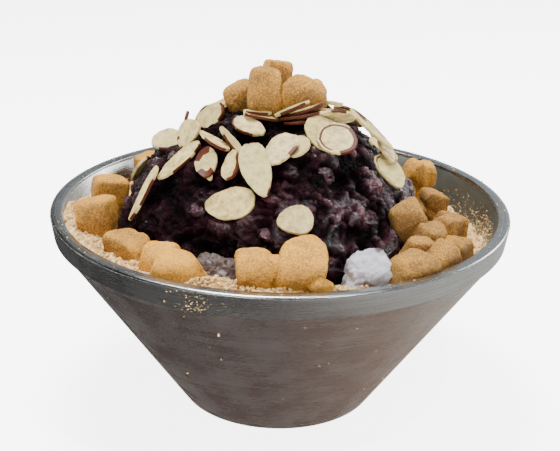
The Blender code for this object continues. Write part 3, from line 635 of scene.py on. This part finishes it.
def stainless_steel():
    """Pressed stainless steel: satin, brushed round the bowl, with faint water marks."""
    finish, tree, shader = new_material("brushed_stainless_steel")
    rim = add(tree, "ShaderNodeUVMap", uv_map="round").outputs["UV"]
    # brushing: hairs 0.4 mm apart and some 40 mm long, running round the bowl
    stretch = add(tree, "ShaderNodeMapping", {"Vector": rim, "Scale": (0.02, 2.4, 1.0)})
    hairs = noise(tree, stretch.outputs["Vector"], 1.0, 5.0, 0.65)
    marks = noise(tree, own_place(tree), 80.0, 4.0)         # water marks about 12 mm across
    tone = blend(tree, ranged(tree, hairs, 0.35, 0.65), "#969593", "#b0b1b1")
    # inside, the wall is painted darker, a painted shade for its dark reflection, and made duller
    blend_amount = kept(tree, "inside")
    gloss = ranged(tree, worked(tree, marks, hairs), 0.7, 1.3, 0.2, 0.34)
    matt = worked(tree, blend_amount, 0.18, gloss, operation="MULTIPLY_ADD")
    feed(tree, shader, {"Base Color": blend(tree, blend_amount, tone, "#7b7e76"), "Metallic": 1.0,
                        "Roughness": matt})
    relief(tree, shader, hairs, 0.35, 0.0002)
    return finish


def milk_ice():
    """Shaved milk ice, wet and packed: white, a little see-through, with crystals of 1 mm."""
    finish, tree, shader = new_material("shaved_milk_ice")
    place = own_place(tree)
    tone = blend(tree, noise(tree, place, 160.0, 5.0), "#7f7b86", "#dbd9e0")
    # bean juice and powder have soaked in here and there; on the front-left chunk the brown is also painted
    # shade, for the shade it lies in under the beans
    stain_and_shade = blend(tree, kept(tree, "soak_and_shade"), tone, "#402c1e")
    feed(tree, shader, {"Base Color": stain_and_shade, "Roughness": 0.35, "IOR": 1.31, "Subsurface Weight": 0.25,
                        "Subsurface Radius": (1.0, 1.0, 1.2), "Subsurface Scale": 0.002})
    relief(tree, shader, noise(tree, place, 900.0, 3.0), 0.6, 0.0006)
    return finish


def bean_paste():
    """Sweet red bean paste, wet with syrup: nearly black purple, redder in patches and, as painted light, on
    the right.
    """
    finish, tree, shader = new_material("sweet_red_bean_paste")
    place = own_place(tree)
    cloud = ranged(tree, noise(tree, place, 150.0, 6.0, 0.65), 0.38, 0.68)
    # the skin value's rise towards the right of the heap is painted light, not the paste's own colour
    tone = blend(tree, kept(tree, "skin"), blend(tree, cloud, "#150810", "#4a1d2c"), "#7a4048")
    # the hollows are dark and dull, because little light gets in or out of them
    proud = kept(tree, "proud")
    wet = noise(tree, place, 240.0, 3.0)
    feed(tree, shader, {"Base Color": blend(tree, proud, "#060203", tone), "IOR": 1.36,
                        "Roughness": ranged(tree, wet, 0.35, 0.65, 0.25, 0.5),
                        "Specular IOR Level": ranged(tree, proud, 0.2, 0.8, 0.03, 0.3),
                        "Coat Weight": ranged(tree, proud, 0.3, 0.8, 0.05, 1.0),
                        "Coat Roughness": 0.05})
    # crushed bean and skins of 0.5 to 2 mm
    relief(tree, shader, noise(tree, place, 600.0, 5.0, 0.6), 1.0, 0.0022, "Coat Normal")
    return finish


def soybean_powder():
    """Roasted soybean powder: dry, dull, pale tan, in crumbs of 0.5 to 2 mm."""
    finish, tree, shader = new_material("roasted_soybean_powder")
    place = own_place(tree)
    cloud = ranged(tree, noise(tree, place, 420.0, 5.0, 0.7), 0.3, 0.7)
    feed(tree, shader, {"Base Color": blend(tree, cloud, "#b08446", "#fad9a0"), "Roughness": 0.95,
                        "Specular IOR Level": 0.2})
    relief(tree, shader, noise(tree, place, 1500.0, 3.0), 0.8, 0.0006)
    return finish


def rice_cake():
    """Small rice cakes rolled in soybean powder: amber, soft, dulled by a coat of fine powder."""
    finish, tree, shader = new_material("powdered_rice_cake")
    place = own_place(tree)
    speckle = noise(tree, place, 1500.0, 2.0, 0.6)
    shift = ranged(tree, noise(tree, place, 130.0, 3.0), 0.3, 0.7, -0.15, 0.15)
    both = worked(tree, ranged(tree, speckle, 0.35, 0.65, -0.36, 0.36), shift)
    blend_amount = worked(tree, both, kept(tree, "dust"), use_clamp=True)
    feed(tree, shader, {"Base Color": blend(tree, blend_amount, "#7c5c34", "#dd9f3e"), "Roughness": 0.72,
                        "Specular IOR Level": 0.12, "Subsurface Weight": 0.15,
                        "Subsurface Radius": (1.0, 0.6, 0.3), "Subsurface Scale": 0.002})
    relief(tree, shader, speckle, 0.7, 0.0007)
    return finish


def almond():
    """Sliced almond: creamy, satin and a little mottled, with thin brown skin along parts of the edge."""
    finish, tree, shader = new_material("sliced_almond")
    place = own_place(tree)
    cloud = ranged(tree, noise(tree, place, 330.0, 6.0, 0.7), 0.34, 0.58)
    # each slice a little paler or greener than the next
    shade = ranged(tree, kept(tree, "shade"), -1.0, 1.0, 0.0, 0.45)
    flesh = blend(tree, shade, blend(tree, cloud, "#8f7b4a", "#dac184"), "#a9a067")
    fleck = noise(tree, place, 700.0, 3.0)
    brown = blend(tree, fleck, "#260c04", "#62290c")
    edge = worked(tree, fleck, 0.9, kept(tree, "skin"), operation="MULTIPLY_ADD")
    feed(tree, shader, {"Base Color": blend(tree, ranged(tree, edge, 0.86, 0.98), flesh, brown),
                        "Roughness": 0.5, "Specular IOR Level": 0.25})
    relief(tree, shader, fleck, 0.25, 0.0004)
    return finish


# ======================================= Pieces =====================================================

def arc(centre_r, centre_z, radius, start, end, count):
    """Points of a round corner in the bowl's section, from one angle to another."""
    angle = np.radians(np.linspace(start, end, count))
    return np.stack((centre_r + radius * np.cos(angle), centre_z + radius * np.sin(angle)), axis=1)


def dome(start, end):
    """Points of the lip's top in the bowl's section, slightly crowned between two radii."""
    part = np.linspace(0.0, 1.0, 9)[1:-1]
    return np.stack((start + (end - start) * part, RIM_TOP + 0.5 * part * (1.0 - part)), axis=1)


def make_bowl(finish):
    """The bowl: its section as radius and height, carried round Z. The section runs up the inside,
    over the rounded lip, down the band and the cone and under the foot."""
    lip_inner = RIM_RADIUS - LIP_WIDTH
    low = RIM_TOP - LIP_ROUND
    well_end = well_radius(WELL_FLOOR + WELL_ROUND / 2.0)
    rise = np.linspace(WELL_FLOOR + WELL_ROUND, low - 0.4, 26)
    wall = np.stack((well_radius(rise), rise), axis=1)
    band = np.linspace(0.0, 1.0, 14)[1:]
    cone = np.linspace(0.0, 1.0, 30)[1:]
    foot_edge = FOOT_RADIUS + FOOT_ROUND * CONE_SLOPE
    top, bottom = (CONE_TOP_RADIUS, CONE_TOP), (foot_edge, FOOT_ROUND)
    section = np.vstack((
        [(0.02, WELL_FLOOR), (well_end - 40.0, WELL_FLOOR), (well_end - WELL_ROUND, WELL_FLOOR),
         (well_end - WELL_ROUND / 3.0, WELL_FLOOR + WELL_ROUND / 6.0)],
        wall,
        arc(lip_inner + LIP_ROUND, low, LIP_ROUND, 180, 90, 7),
        dome(lip_inner + LIP_ROUND, RIM_RADIUS - LIP_ROUND),
        arc(RIM_RADIUS - LIP_ROUND, low, LIP_ROUND, 90, 0, 7),
        np.stack((RIM_RADIUS - BAND_TAPER * band, low - (BAND_HEIGHT - LIP_ROUND) * band), axis=1),
        [(RIM_RADIUS - BAND_TAPER - 0.25, RIM_TOP - BAND_HEIGHT - 0.3), (CONE_TOP_RADIUS + 0.2, CONE_TOP)],
        np.stack((top[0] + (bottom[0] - top[0]) * cone, top[1] + (bottom[1] - top[1]) * cone), axis=1),
        [(foot_edge - FOOT_ROUND * 0.55, FOOT_ROUND * 0.22), (FOOT_RADIUS - FOOT_ROUND * 0.75, 0.0),
         (FOOT_RING_INNER, 0.0), (FOOT_RING_INNER - FOOT_RECESS, FOOT_RECESS), (0.02, FOOT_RECESS)]))
    steps = 288
    angle = np.arange(steps) * 2.0 * np.pi / steps
    points = np.stack((section[:, :1] * np.cos(angle), section[:, :1] * np.sin(angle),
                       np.repeat(section[:, 1:], steps, axis=1)), axis=-1).reshape(-1, 3)
    rows = np.arange(len(section))
    inside = np.repeat((rows < len(wall) + 4).astype(float), steps)
    inside *= np.clip(0.75 + points[:, 0] / 70.0, 0.1, 1.0)        # the painted shade on the inner wall fades out towards the left
    bowl = add_mesh("steel_bowl", points, tube(len(points), steps, inwards=True), finish,
                    ("bowl",), values={"inside": inside})
    length = np.concatenate(([0.0], np.cumsum(np.linalg.norm(np.diff(section, axis=0), axis=1))))
    # own map: millimetres round the rim, and millimetres along the section
    layer = bowl.data.uv_layers.new(name="round")
    row, column = np.divmod(np.arange(len(points)), steps)
    corner = np.zeros(len(bowl.data.loops), dtype=np.int64)
    bowl.data.loops.foreach_get("vertex_index", corner)
    across = column[corner] * (2.0 * np.pi * RIM_RADIUS / steps)
    layer.data.foreach_set("uv", np.stack((across, length[row[corner]]), axis=1).ravel())


def make_ice(finish):
    """The ice: a bed in the well with a rough top, and the chunks that stand clear of the beans."""
    steps = 260
    azimuth = np.arange(steps) * 360.0 / steps
    edge = polar(WALL_REACH, azimuth, 0.0)
    wall = well_radius(ice_level(edge[:, 0], edge[:, 1])) - 0.5
    rings = [polar(reach, azimuth, 8.0) for reach in (10.0, 36.0)]
    rings += [polar(40.0 + (wall - 40.0) * part, azimuth, 9.5 + (wall - 40.0) * part / CONE_SLOPE)
              for part in np.linspace(0.0, 1.0, 12)]
    top = np.concatenate([polar(wall * part, azimuth, 0.0) for part in np.linspace(1.0, 0.62, 70)])
    top[:, 2] = ice_level(top[:, 0], top[:, 1]) + 0.9 * rough(top, 7.0, 11, 4)
    points = np.concatenate((*rings, top))
    gap = np.hypot(points[:, 0], points[:, 1]) - heap_edge(np.degrees(np.arctan2(points[:, 1], points[:, 0])))
    soak_and_shade = np.clip(1.3 - gap / 6.0 + 0.6 * rough(points, 4.0, 15, 3), 0.0, 0.95)
    add_mesh("ice_bed", points, tube(len(points), steps), finish, ("shaved_ice",),
             values={"soak_and_shade": soak_and_shade})
    way, faces = ball(40)
    for name, centre, sizes, turns, taper, number in ICE_CHUNKS:
        chunk = soft_block(way, sizes, taper, number)
        chunk += way * (1.5 * rough(chunk, 6.0, number, 4) + 0.5 * rough(chunk, 1.6, number + 9, 3))[:, None]
        chunk[:, 0] += CHUNK_LEAN * chunk[:, 2]
        chunk = turned(chunk, turns) + centre
        # the front-left chunk is browned all over, partly as painted shade
        stain_and_shade, rise = CHUNK_STAIN_AND_SHADE[name]
        right = (chunk[:, 0] - centre[0]) / sizes[0] - (chunk[:, 2] - centre[2]) / sizes[2]
        soak_and_shade = np.clip(stain_and_shade + rise * right + 1.2 * rough(chunk, 4.0, 17, 3), 0.0, 0.93)
        add_mesh("ice_chunk_" + name, chunk, faces, finish, values={"soak_and_shade": soak_and_shade})


def heap_skin(azimuth, part):
    """Points of the bean heap's surface: the heap's height at a part of its edge's radius, then
    pushed out along the surface's own way by broad lumps, by sunken beans and by fine crush. Also
    the way out, and how proud each point stands, from 0 in a hollow to 1."""
    x, y, _ = polar(heap_edge(azimuth) * part, azimuth, 0.0).T
    slope_x, slope_y = heap_slope(x, y, 1.5)
    way = np.stack((-slope_x, -slope_y, np.ones_like(x)), axis=1)
    way /= np.linalg.norm(way, axis=1)[:, None]
    points = np.stack((x, y, heap_height(x, y)), axis=1)
    bent = points + 1.6 * np.stack([rough(points, 5.0, 50 + i, 2) for i in range(3)], axis=1)
    bean = humps(bent * (1.0, 1.0, 0.8), 8.0, 21)
    crush = humps(bent, 3.4, 37, spread=0.7)
    crease = 1.0 - np.abs(rough(bent, 5.5, 66, 2))
    out = (1.9 * rough(points, 14.0, 3, 2) + 1.5 * bean + 1.0 * crush + 1.5 * (crease - 0.75)
           + 0.75 * rough(points, 1.9, 8, 2) - 1.1)
    # dented where a cake rests on it
    for _, centre, sizes, *_ in RICE_CAKES:
        gap = np.linalg.norm(points - centre, axis=1) - 0.4 * sum(sizes) / 3.0
        out = out - 2.2 * np.clip(1.0 - gap / 5.0, 0.0, 1.0)
    points = points + way * (out * np.clip((1.0 - part) * 30.0, 0.0, 1.0))[:, None]
    return pressed(points, 0.5), way, np.clip(0.42 + 0.28 * out, 0.0, 1.0)


def pressed(points, spare):
    """Points of the beans pushed in under each slice, to a spare depth below its lower face."""
    for turn, place, length, width, camber in SEATS:
        own = (points - place) @ turn
        round_off = (2.0 * own[:, 0] / length) ** 2 + (2.0 * own[:, 1] / width) ** 2
        floor = camber * round_off - ALMOND_THICK / 2.0 - spare
        over = np.clip(own[:, 2] - floor, 0.0, None) * np.clip((1.45 - round_off) / 0.4, 0.0, 1.0)
        over = np.where(own[:, 2] < floor + 7.0, over, 0.0)
        points = points - over[:, None] * turn[:, 2]
    return points


def under_slice(points, spare):
    """Whether points lie within a spare distance of a slice."""
    near = np.zeros(len(points), dtype=bool)
    for turn, place, length, width, _ in SEATS:
        own = (points - place) @ turn
        round_off = (own[:, 0] / (length / 2.0 + spare)) ** 2 + (own[:, 1] / (width / 2.0 + spare)) ** 2
        near |= (round_off < 1.0) & (np.abs(own[:, 2]) < 3.0 + spare)
    return near


def make_heap(finish):
    """The red beans: the heap's skin on a grid of azimuth and reach, closed underneath."""
    steps = 520
    azimuth = np.arange(steps) * 360.0 / steps
    parts = np.concatenate(([1.0], 1.0 - np.linspace(0.0, 1.0, 183)[1:-1] ** 1.15))
    points, _, proud = heap_skin(np.tile(azimuth, len(parts)), np.repeat(parts, steps))
    # redder in patches, and redder, lighter and glossier towards the right: the ramp from left to right is
    # painted light falling from the right
    red = np.clip(0.5 * rough(points, 5.0, 61, 3) - 0.10, 0.0, 1.0)
    red = red * np.clip((points[:, 0] + 25.0) / 40.0, 0.15, 1.0)
    proud = proud * np.clip(0.85 + points[:, 0] / 120.0, 0.55, 1.15)
    points = np.vstack((points[:steps] - (0.0, 0.0, 6.0), points))
    add_mesh("red_bean_paste", points, tube(len(points), steps), finish,
             ("red_bean_heap",), values={"skin": np.concatenate((np.zeros(steps), red)),
                                         "proud": np.concatenate((np.zeros(steps), proud))})


def make_beans(finish):
    """Whole and split beans in the paste: long uneven forms, most of each sunk."""
    random = np.random.default_rng(5)
    azimuth = random.uniform(-180.0, 180.0, BEANS)
    part = np.sqrt(random.uniform(0.02, 0.96, BEANS))
    seat, way, _ = heap_skin(azimuth, part)
    free = ~under_slice(seat, 2.0)
    seat, way = seat[free], way[free]
    count = len(seat)
    directions, faces = ball(6)
    all_points, all_faces, all_red = [], [], []
    for i in range(count):
        size = random.uniform(0.8, 1.15) * np.array(BEAN_SIZE)
        bean = directions * size
        bean *= (1.0 + 0.30 * rough(directions * 2.0 + i * 7.0, 1.3, 40, 2))[:, None]
        up = Vector(way[i] + random.normal(0.0, 0.25, 3)).normalized()
        turn = up.to_track_quat("Z", "Y").to_matrix() @ Matrix.Rotation(random.uniform(0, 6.283), 3, "Z")
        sunk = random.uniform(1.0, 2.4)
        all_points.append(bean @ np.array(turn).T + seat[i] - way[i] * sunk)
        all_faces.append(faces + i * len(directions))
        all_red.append(np.full(len(directions), max(0.0, random.normal(0.12, 0.22))))
    add_mesh("whole_beans", np.vstack(all_points), np.vstack(all_faces), finish,
             values={"skin": np.clip(np.concatenate(all_red), 0.0, 1.0),
                     "proud": np.full(count * len(directions), 0.8)})


def powder_top(azimuth, reach):
    """The powder's own surface: the bed's level or a skin on the ice, with crumbs of 1 to 3 mm."""
    flat = polar(reach, azimuth, 0.0)
    top = np.maximum(powder_height(azimuth, reach), ice_level(flat[..., 0], flat[..., 1]) + 0.8)
    flat[..., 2] = 0.3 * top
    flat = flat.reshape(-1, 3)
    crumb = humps(flat, 1.7, 71, 0.62)
    lift = 1.0 * rough(flat, 6.5, 70, 2) + 0.8 * crumb + 0.3 * rough(flat, 1.0, 75, 3)
    return top + lift.reshape(top.shape) - 0.5


def add_ridge(name, rows, finish, stands_for=()):
    """A closed ridge of powder from its rows of points, each of which runs along the ridge."""
    points = rows.transpose(1, 0, 2).reshape(-1, 3)
    faces = tube(len(points), len(rows), inwards=True, flip=True)
    add_mesh(name, points, faces, finish, stands_for)


def bed_azimuth(along):
    """The azimuth at a distance in degrees along the powder bed."""
    return (POWDER_START + along + 180.0) % 360.0 - 180.0


def make_powder(finish):
    """The soybean powder: sections from the heap's edge to the wall, carried round the bowl."""
    azimuth = bed_azimuth(np.linspace(0.0, POWDER_SWEEP, 720))
    wall = well_radius(around(azimuth, POWDER_LEVEL))
    outer = well_radius(powder_height(azimuth, wall)) - 0.25
    inner = heap_edge(azimuth) - 3.0
    reach = outer + (inner - outer) * np.linspace(0.0, 1.0, 62)[:, None]
    rows = polar(reach, azimuth, powder_top(azimuth, reach))
    low = rows[[-1, 0]]
    low[..., 2] = ice_level(low[..., 0], low[..., 1]) - 0.5
    add_ridge("powder_bed", np.concatenate((rows, low)), finish, ("soybean_powder",))


def drift_height(azimuth):
    """How high the powder is drifted against the wall in front, above the ice."""
    heaped = 3.6 * np.exp(-((azimuth + 104.0) / 6.0) ** 2)
    return np.clip(1.6 + heaped + 0.9 * np.sin(0.33 * azimuth) + 0.5 * np.sin(0.9 * azimuth), 0.4, 5.0)


def drift_top(azimuth, part):
    """Points of the drift: a part of the way from the wall inwards, falling in an eased slope."""
    wide = 3.5 + 1.6 * drift_height(azimuth)
    foot = polar(WALL_REACH + 1.0, azimuth, 0.0)
    rise = drift_height(azimuth) * (1.0 + np.cos(np.pi * part)) / 2.0
    z = np.minimum(ice_level(foot[..., 0], foot[..., 1]) + rise, RIM_TOP - 0.8)
    return polar(well_radius(z) - 0.3 - wide * part, azimuth, z)


def make_drift(finish):
    """The powder drifted against the wall in front: a low ridge with crumbs, closed underneath."""
    rows = drift_top(np.linspace(DRIFT_START, DRIFT_END, 260), np.linspace(0.0, 1.0, 20)[:, None])
    flat = rows.reshape(-1, 3)
    crumb = humps(flat, 1.9, 171, 0.62)
    lift = 0.8 * rough(flat, 4.0, 170, 2) + 0.7 * crumb - 0.5 + 0.3 * rough(flat, 0.9, 175, 2)
    rows[..., 2] = np.minimum(rows[..., 2] + lift.reshape(rows.shape[:2]), RIM_TOP - 0.2)
    low = rows[[-1, 0]] - (0.0, 0.0, 4.0)
    low[1, :, :2] *= 0.97
    add_ridge("powder_drift", np.concatenate((rows, low)), finish)


def scatter(name, seats, sizes, cuts, finish, seed):
    """Small uneven grains of powder at the given places, each turned at random, in one mesh."""
    random = np.random.default_rng(seed)
    directions, faces = ball(cuts)
    count = len(seats)
    lumps = 1.0 + 0.28 * random.normal(size=(count, len(directions), 1)).clip(-1.2, 1.2)
    stretch = random.uniform(0.7, 1.3, (count, 1, 3))
    turns = np.linalg.qr(random.normal(size=(count, 3, 3)))[0]
    turns *= np.sign(np.linalg.det(turns))[:, None, None]
    grains = directions[None] * lumps * stretch * (sizes[:, None, None] / 2.0)
    points = grains @ turns.transpose(0, 2, 1) + seats[:, None]
    number = faces[None] + (np.arange(count) * len(directions))[:, None, None]
    add_mesh(name, points.reshape(-1, 3), number.reshape(-1, 4), finish)


def make_crumbs(finish):
    """Loose crumbs on the powder bed and the drift."""
    random = np.random.default_rng(8)
    azimuth = bed_azimuth(random.uniform(1.0, POWDER_SWEEP - 1.0, BED_CRUMBS))
    inner = heap_edge(azimuth) + 0.5
    outer = well_radius(around(azimuth, POWDER_LEVEL)) - 1.0
    reach = inner + (outer - inner) * np.sqrt(random.uniform(0.0, 1.0, BED_CRUMBS))
    bed = polar(reach, azimuth, powder_top(azimuth, reach) + 0.15)
    azimuth = random.uniform(DRIFT_START + 1.0, DRIFT_END - 1.0, DRIFT_CRUMBS)
    drift = drift_top(azimuth, random.uniform(0.0, 1.15, DRIFT_CRUMBS).clip(0.0, 1.0))
    drift += random.normal(0.0, 0.35, drift.shape)
    drift[:, 2] = np.minimum(drift[:, 2] + 0.35, RIM_TOP + 0.2)
    seats = np.vstack((bed, drift))
    sizes = random.lognormal(-0.1, 0.42, len(seats)).clip(0.4, 2.4)
    scatter("powder_crumbs", seats, sizes, 1, finish, 81)


def make_dust(finish):
    """Grains of powder stuck to the wall, on the lip and on the outside of the bowl."""
    random = np.random.default_rng(9)
    places = []
    for middle, spread, low, high, count in WALL_DUST:
        azimuth = random.normal(middle, spread, count)
        z = low + (high - low) * random.beta(1.0, 2.2, count)
        places.append(polar(well_radius(z) - 0.08, azimuth, z))
    azimuth = random.uniform(-180.0, 180.0, LIP_DUST)
    reach = random.uniform(RIM_RADIUS - LIP_WIDTH + 0.6, RIM_RADIUS - 0.8, LIP_DUST)
    places.append(polar(reach, azimuth, RIM_TOP + 0.1))
    azimuth = random.normal(SPLASH_AZIMUTH, 3.2, SPLASH_DUST)
    z = random.uniform(RIM_TOP - BAND_HEIGHT, RIM_TOP - 1.0, SPLASH_DUST)
    places.append(polar(RIM_RADIUS - BAND_TAPER * (RIM_TOP - z) / BAND_HEIGHT + 0.05, azimuth, z))
    azimuth = random.uniform(-180.0, 180.0, CONE_DUST)
    z = random.uniform(20.0, CONE_TOP - 3.0, CONE_DUST)
    places.append(polar(CONE_TOP_RADIUS - (CONE_TOP - z) * CONE_SLOPE + 0.05, azimuth, z))
    seats = np.vstack(places)
    scatter("powder_dust", seats, random.lognormal(-1.0, 0.4, len(seats)).clip(0.2, 1.0), 0, finish, 82)


def make_rice_cakes(finish):
    """The rice cakes: the part's own soft blocks on a fine grid, with dents and a grain of powder."""
    way, faces = ball(26)
    for name, centre, sizes, turns, taper, number in RICE_CAKES:
        cake = soft_block(way, sizes, taper, number)
        if name in CLEFTS:
            across, offset, width, depth = CLEFTS[name]
            across = np.array(across) / np.linalg.norm(across)
            along = (cake @ across)[:, None] * across
            waist = 1.0 - depth * np.exp(-((cake @ across - offset) / width) ** 2)
            cake = along + (cake - along) * waist[:, None]
        far = cake + 40.0 * number
        cake += way * (0.5 * rough(far, 7.0, 90, 2) + 0.17 * rough(far, 1.4, 92, 2))[:, None]
        cake = turned(cake, turns) + centre
        up = outward(cake, faces)[:, 2]
        coat = DUSTING.get(name.split("_")[0], BACK_DUSTING)
        dust = coat + 0.16 * up + 0.18 * rough(cake, 5.0, 95, 3)
        add_mesh("cake_" + name, cake, faces, finish, ("rice_cake_" + name,),
                 values={"dust": dust})


def slice_frame(x, y, heading, roll, pitch):
    """A slice's own X, Y and Z on the heap, as the columns of a matrix, and the way out of the heap."""
    rise_x, rise_y = heap_slope(x, y, 3.0)
    way = Vector((-rise_x, -rise_y, 1.0)).normalized()
    out = Vector((x, y, 0.0))
    out = (out - way * out.dot(way)).normalized()
    along = Matrix.Rotation(math.radians(heading), 3, way) @ out
    across = way.cross(along)
    lean = Matrix.Rotation(math.radians(roll), 3, along)
    nod = Matrix.Rotation(math.radians(pitch), 3, lean @ across)
    columns = (nod @ along, lean @ across, nod @ (lean @ way))
    return np.array(Matrix(columns).transposed()), np.array(way)


def laid_frame(heading, rise, nod):
    """A slice's own X, Y and Z where it lies across the front: its X at a heading and a rise, and
    its Y running back and down by the nod, so that its edge shows."""
    heading, rise, nod = math.radians(heading), math.radians(rise), math.radians(nod)
    along = Vector((math.cos(heading) * math.cos(rise), math.sin(heading) * math.cos(rise), math.sin(rise)))
    back = Vector((0.0, math.cos(nod), -math.sin(nod)))
    across = (back - along * back.dot(along)).normalized()
    return np.array(Matrix((along, across, along.cross(across))).transposed())


def slice_form(length, width, taper, camber, number, ridge=0.0):
    """An almond slice: rings from the middle of one face over the thin edge to the middle of the
    other. The outline is a circle drawn out to a length and width, narrower at one end, with an
    uneven edge; the faces are cupped, and ridged across where a ridge height is given."""
    steps = 64
    angle = np.arange(steps) * 2.0 * np.pi / steps
    face = (0.10, 0.25, 0.40, 0.52, 0.62, 0.70, 0.76, 0.81, 0.85, 0.89, 0.925, 0.955, 0.98)
    rings = [(p, 0.5) for p in face] + [(0.995, 0.40), (1.0, 0.15), (1.0, -0.15), (0.995, -0.40)]
    rings += [(p, -0.5) for p in face[::-1]]
    part, level = np.array(rings).T[:, :, None]
    seed = np.stack((3.0 * np.cos(angle), 3.0 * np.sin(angle), np.full(steps, 5.3 * number)), axis=1)
    edge = 1.0 + 0.02 * np.sin(3 * angle + number) + 0.05 * rough(seed, 1.1, 58, 3)
    x = part * np.cos(angle) * edge
    y = part * np.sin(angle) * edge * (1.0 - taper * np.cos(angle))
    z = level * ALMOND_THICK + camber * (x * x + y * y)
    z = z + ridge * np.sin(x * length * 0.9) * np.clip(1.0 - part ** 4, 0.0, 1.0)
    points = np.stack((x * length / 2.0, y * width / 2.0, z), axis=-1).reshape(-1, 3)
    points[:, 2] += 0.12 * rough(points + 31.0 * number, 4.0, 55, 2)
    faces = tube(len(points), steps, inwards=True, flip=True)
    return points, faces, np.tile(angle, len(rings)), np.repeat(part[:, 0], steps)


def angle_off(first, second):
    """How far apart two angles are, at most half a turn."""
    return np.abs((first - second + np.pi) % (2.0 * np.pi) - np.pi)


def edge_towards(angle, turn, length, width):
    """The angle in a slice's own outline of the edge point that lies at an angle seen from the
    front: of 72 points of the outline, the one seen nearest to it."""
    own = np.arange(72) * math.pi / 36.0
    points = np.stack((np.cos(own) * length, np.sin(own) * width, 0.0 * own), axis=1) @ turn.T
    seen = np.arctan2(points @ SEEN_UP, points @ SEEN_RIGHT)
    return own[np.argmin(angle_off(seen, math.radians(angle)))]


def add_slice(name, row, number, skin, finish, turn, place, stands_for=(), ridge=0.0):
    """Put a slice in its place, with brown skin in patches along its edge."""
    length, width, taper, camber = row
    points, faces, angle, part = slice_form(length, width, taper, camber, number, ridge)
    cover = np.zeros(len(points))
    for towards, half, start, end in skin:
        off = angle_off(angle, edge_towards(towards, turn, length, width))
        near = np.clip((np.radians(half) - off) / 0.25, 0.0, 1.0)
        band = np.clip((part - start) / 0.05 + 0.5, 0.0, 1.0) * np.clip((end - part) / 0.04 + 1.0, 0.0, 1.0)
        cover = np.maximum(cover, near * band)
    add_mesh(name, points @ turn.T + place, faces, finish, stands_for,
             values={"skin": cover, "shade": np.full(len(points), math.sin(2.7 * number + 1.0))})


def slice_seat(azimuth, radius, heading, roll, pitch, lift):
    """A slice's frame, place and way out on the heap, lifted by its lift, or by none where it has none."""
    x = radius * math.cos(math.radians(azimuth))
    y = radius * math.sin(math.radians(azimuth))
    turn, way = slice_frame(x, y, heading, roll, pitch)
    return turn, np.array((x, y, float(heap_height(x, y)))) + way * (lift or 0.0), way


def lay_slices():
    """Every slice's name, frame, place, form row, skin and node. A slice of the part lies at the
    height of the part's own slice."""
    laid = []
    random = np.random.default_rng(12)
    for i, (name, azimuth, radius, heading, roll, pitch, *row, lift) in enumerate(ALMONDS):
        turn, place, way = slice_seat(azimuth, radius, heading, roll, pitch, lift)
        top = (slice_form(*row, i)[0] @ turn.T + place)[:, 2].max()
        rise = (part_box("almond_" + name)[1][2] / MM - top) / way[2]
        place = place + way * float(np.clip(rise, -0.5, 8.0))
        laid.append(("slice_" + name, turn, place, row, ALMOND_SKINS[name], ("almond_" + name,)))
    for i, (azimuth, radius, heading, roll, pitch, *row, lift) in enumerate(SCATTERED):
        turn, place, way = slice_seat(azimuth, radius, heading, roll, pitch, lift)
        skin = ((random.uniform(0, 360), random.uniform(25, 80), random.uniform(0.8, 0.95), 1),)
        laid.append(("loose_slice_%d" % (i + 1), turn, place, row, skin, ()))
    for i, (middle, heading, rise, nod, length, width, taper, skin) in enumerate(FAN):
        turn = laid_frame(heading, rise, nod)
        laid.append(("fan_slice_%d" % (i + 1), turn, np.array(middle), (length, width, taper, 0.3), skin, ()))
    return laid


def make_almonds(laid, finish):
    """The almond slices, each in its place."""
    for i, (name, turn, place, row, skin, nodes) in enumerate(laid):
        add_slice(name, row, i, skin, finish, turn, place, nodes, RIDGED.get(name, 0.0))


LAID = lay_slices()
SEATS = [(turn, place, row[0], row[1], row[3]) for _, turn, place, row, *_ in LAID]
make_camera()
make_floor()
make_light()
steel = stainless_steel()
ice = milk_ice()
paste = bean_paste()
powder = soybean_powder()
cake = rice_cake()
nut = almond()
make_bowl(steel)
make_ice(ice)
make_heap(paste)
make_beans(paste)
make_powder(powder)
make_drift(powder)
make_crumbs(powder)
make_dust(powder)
make_rice_cakes(cake)
make_almonds(LAID, nut)
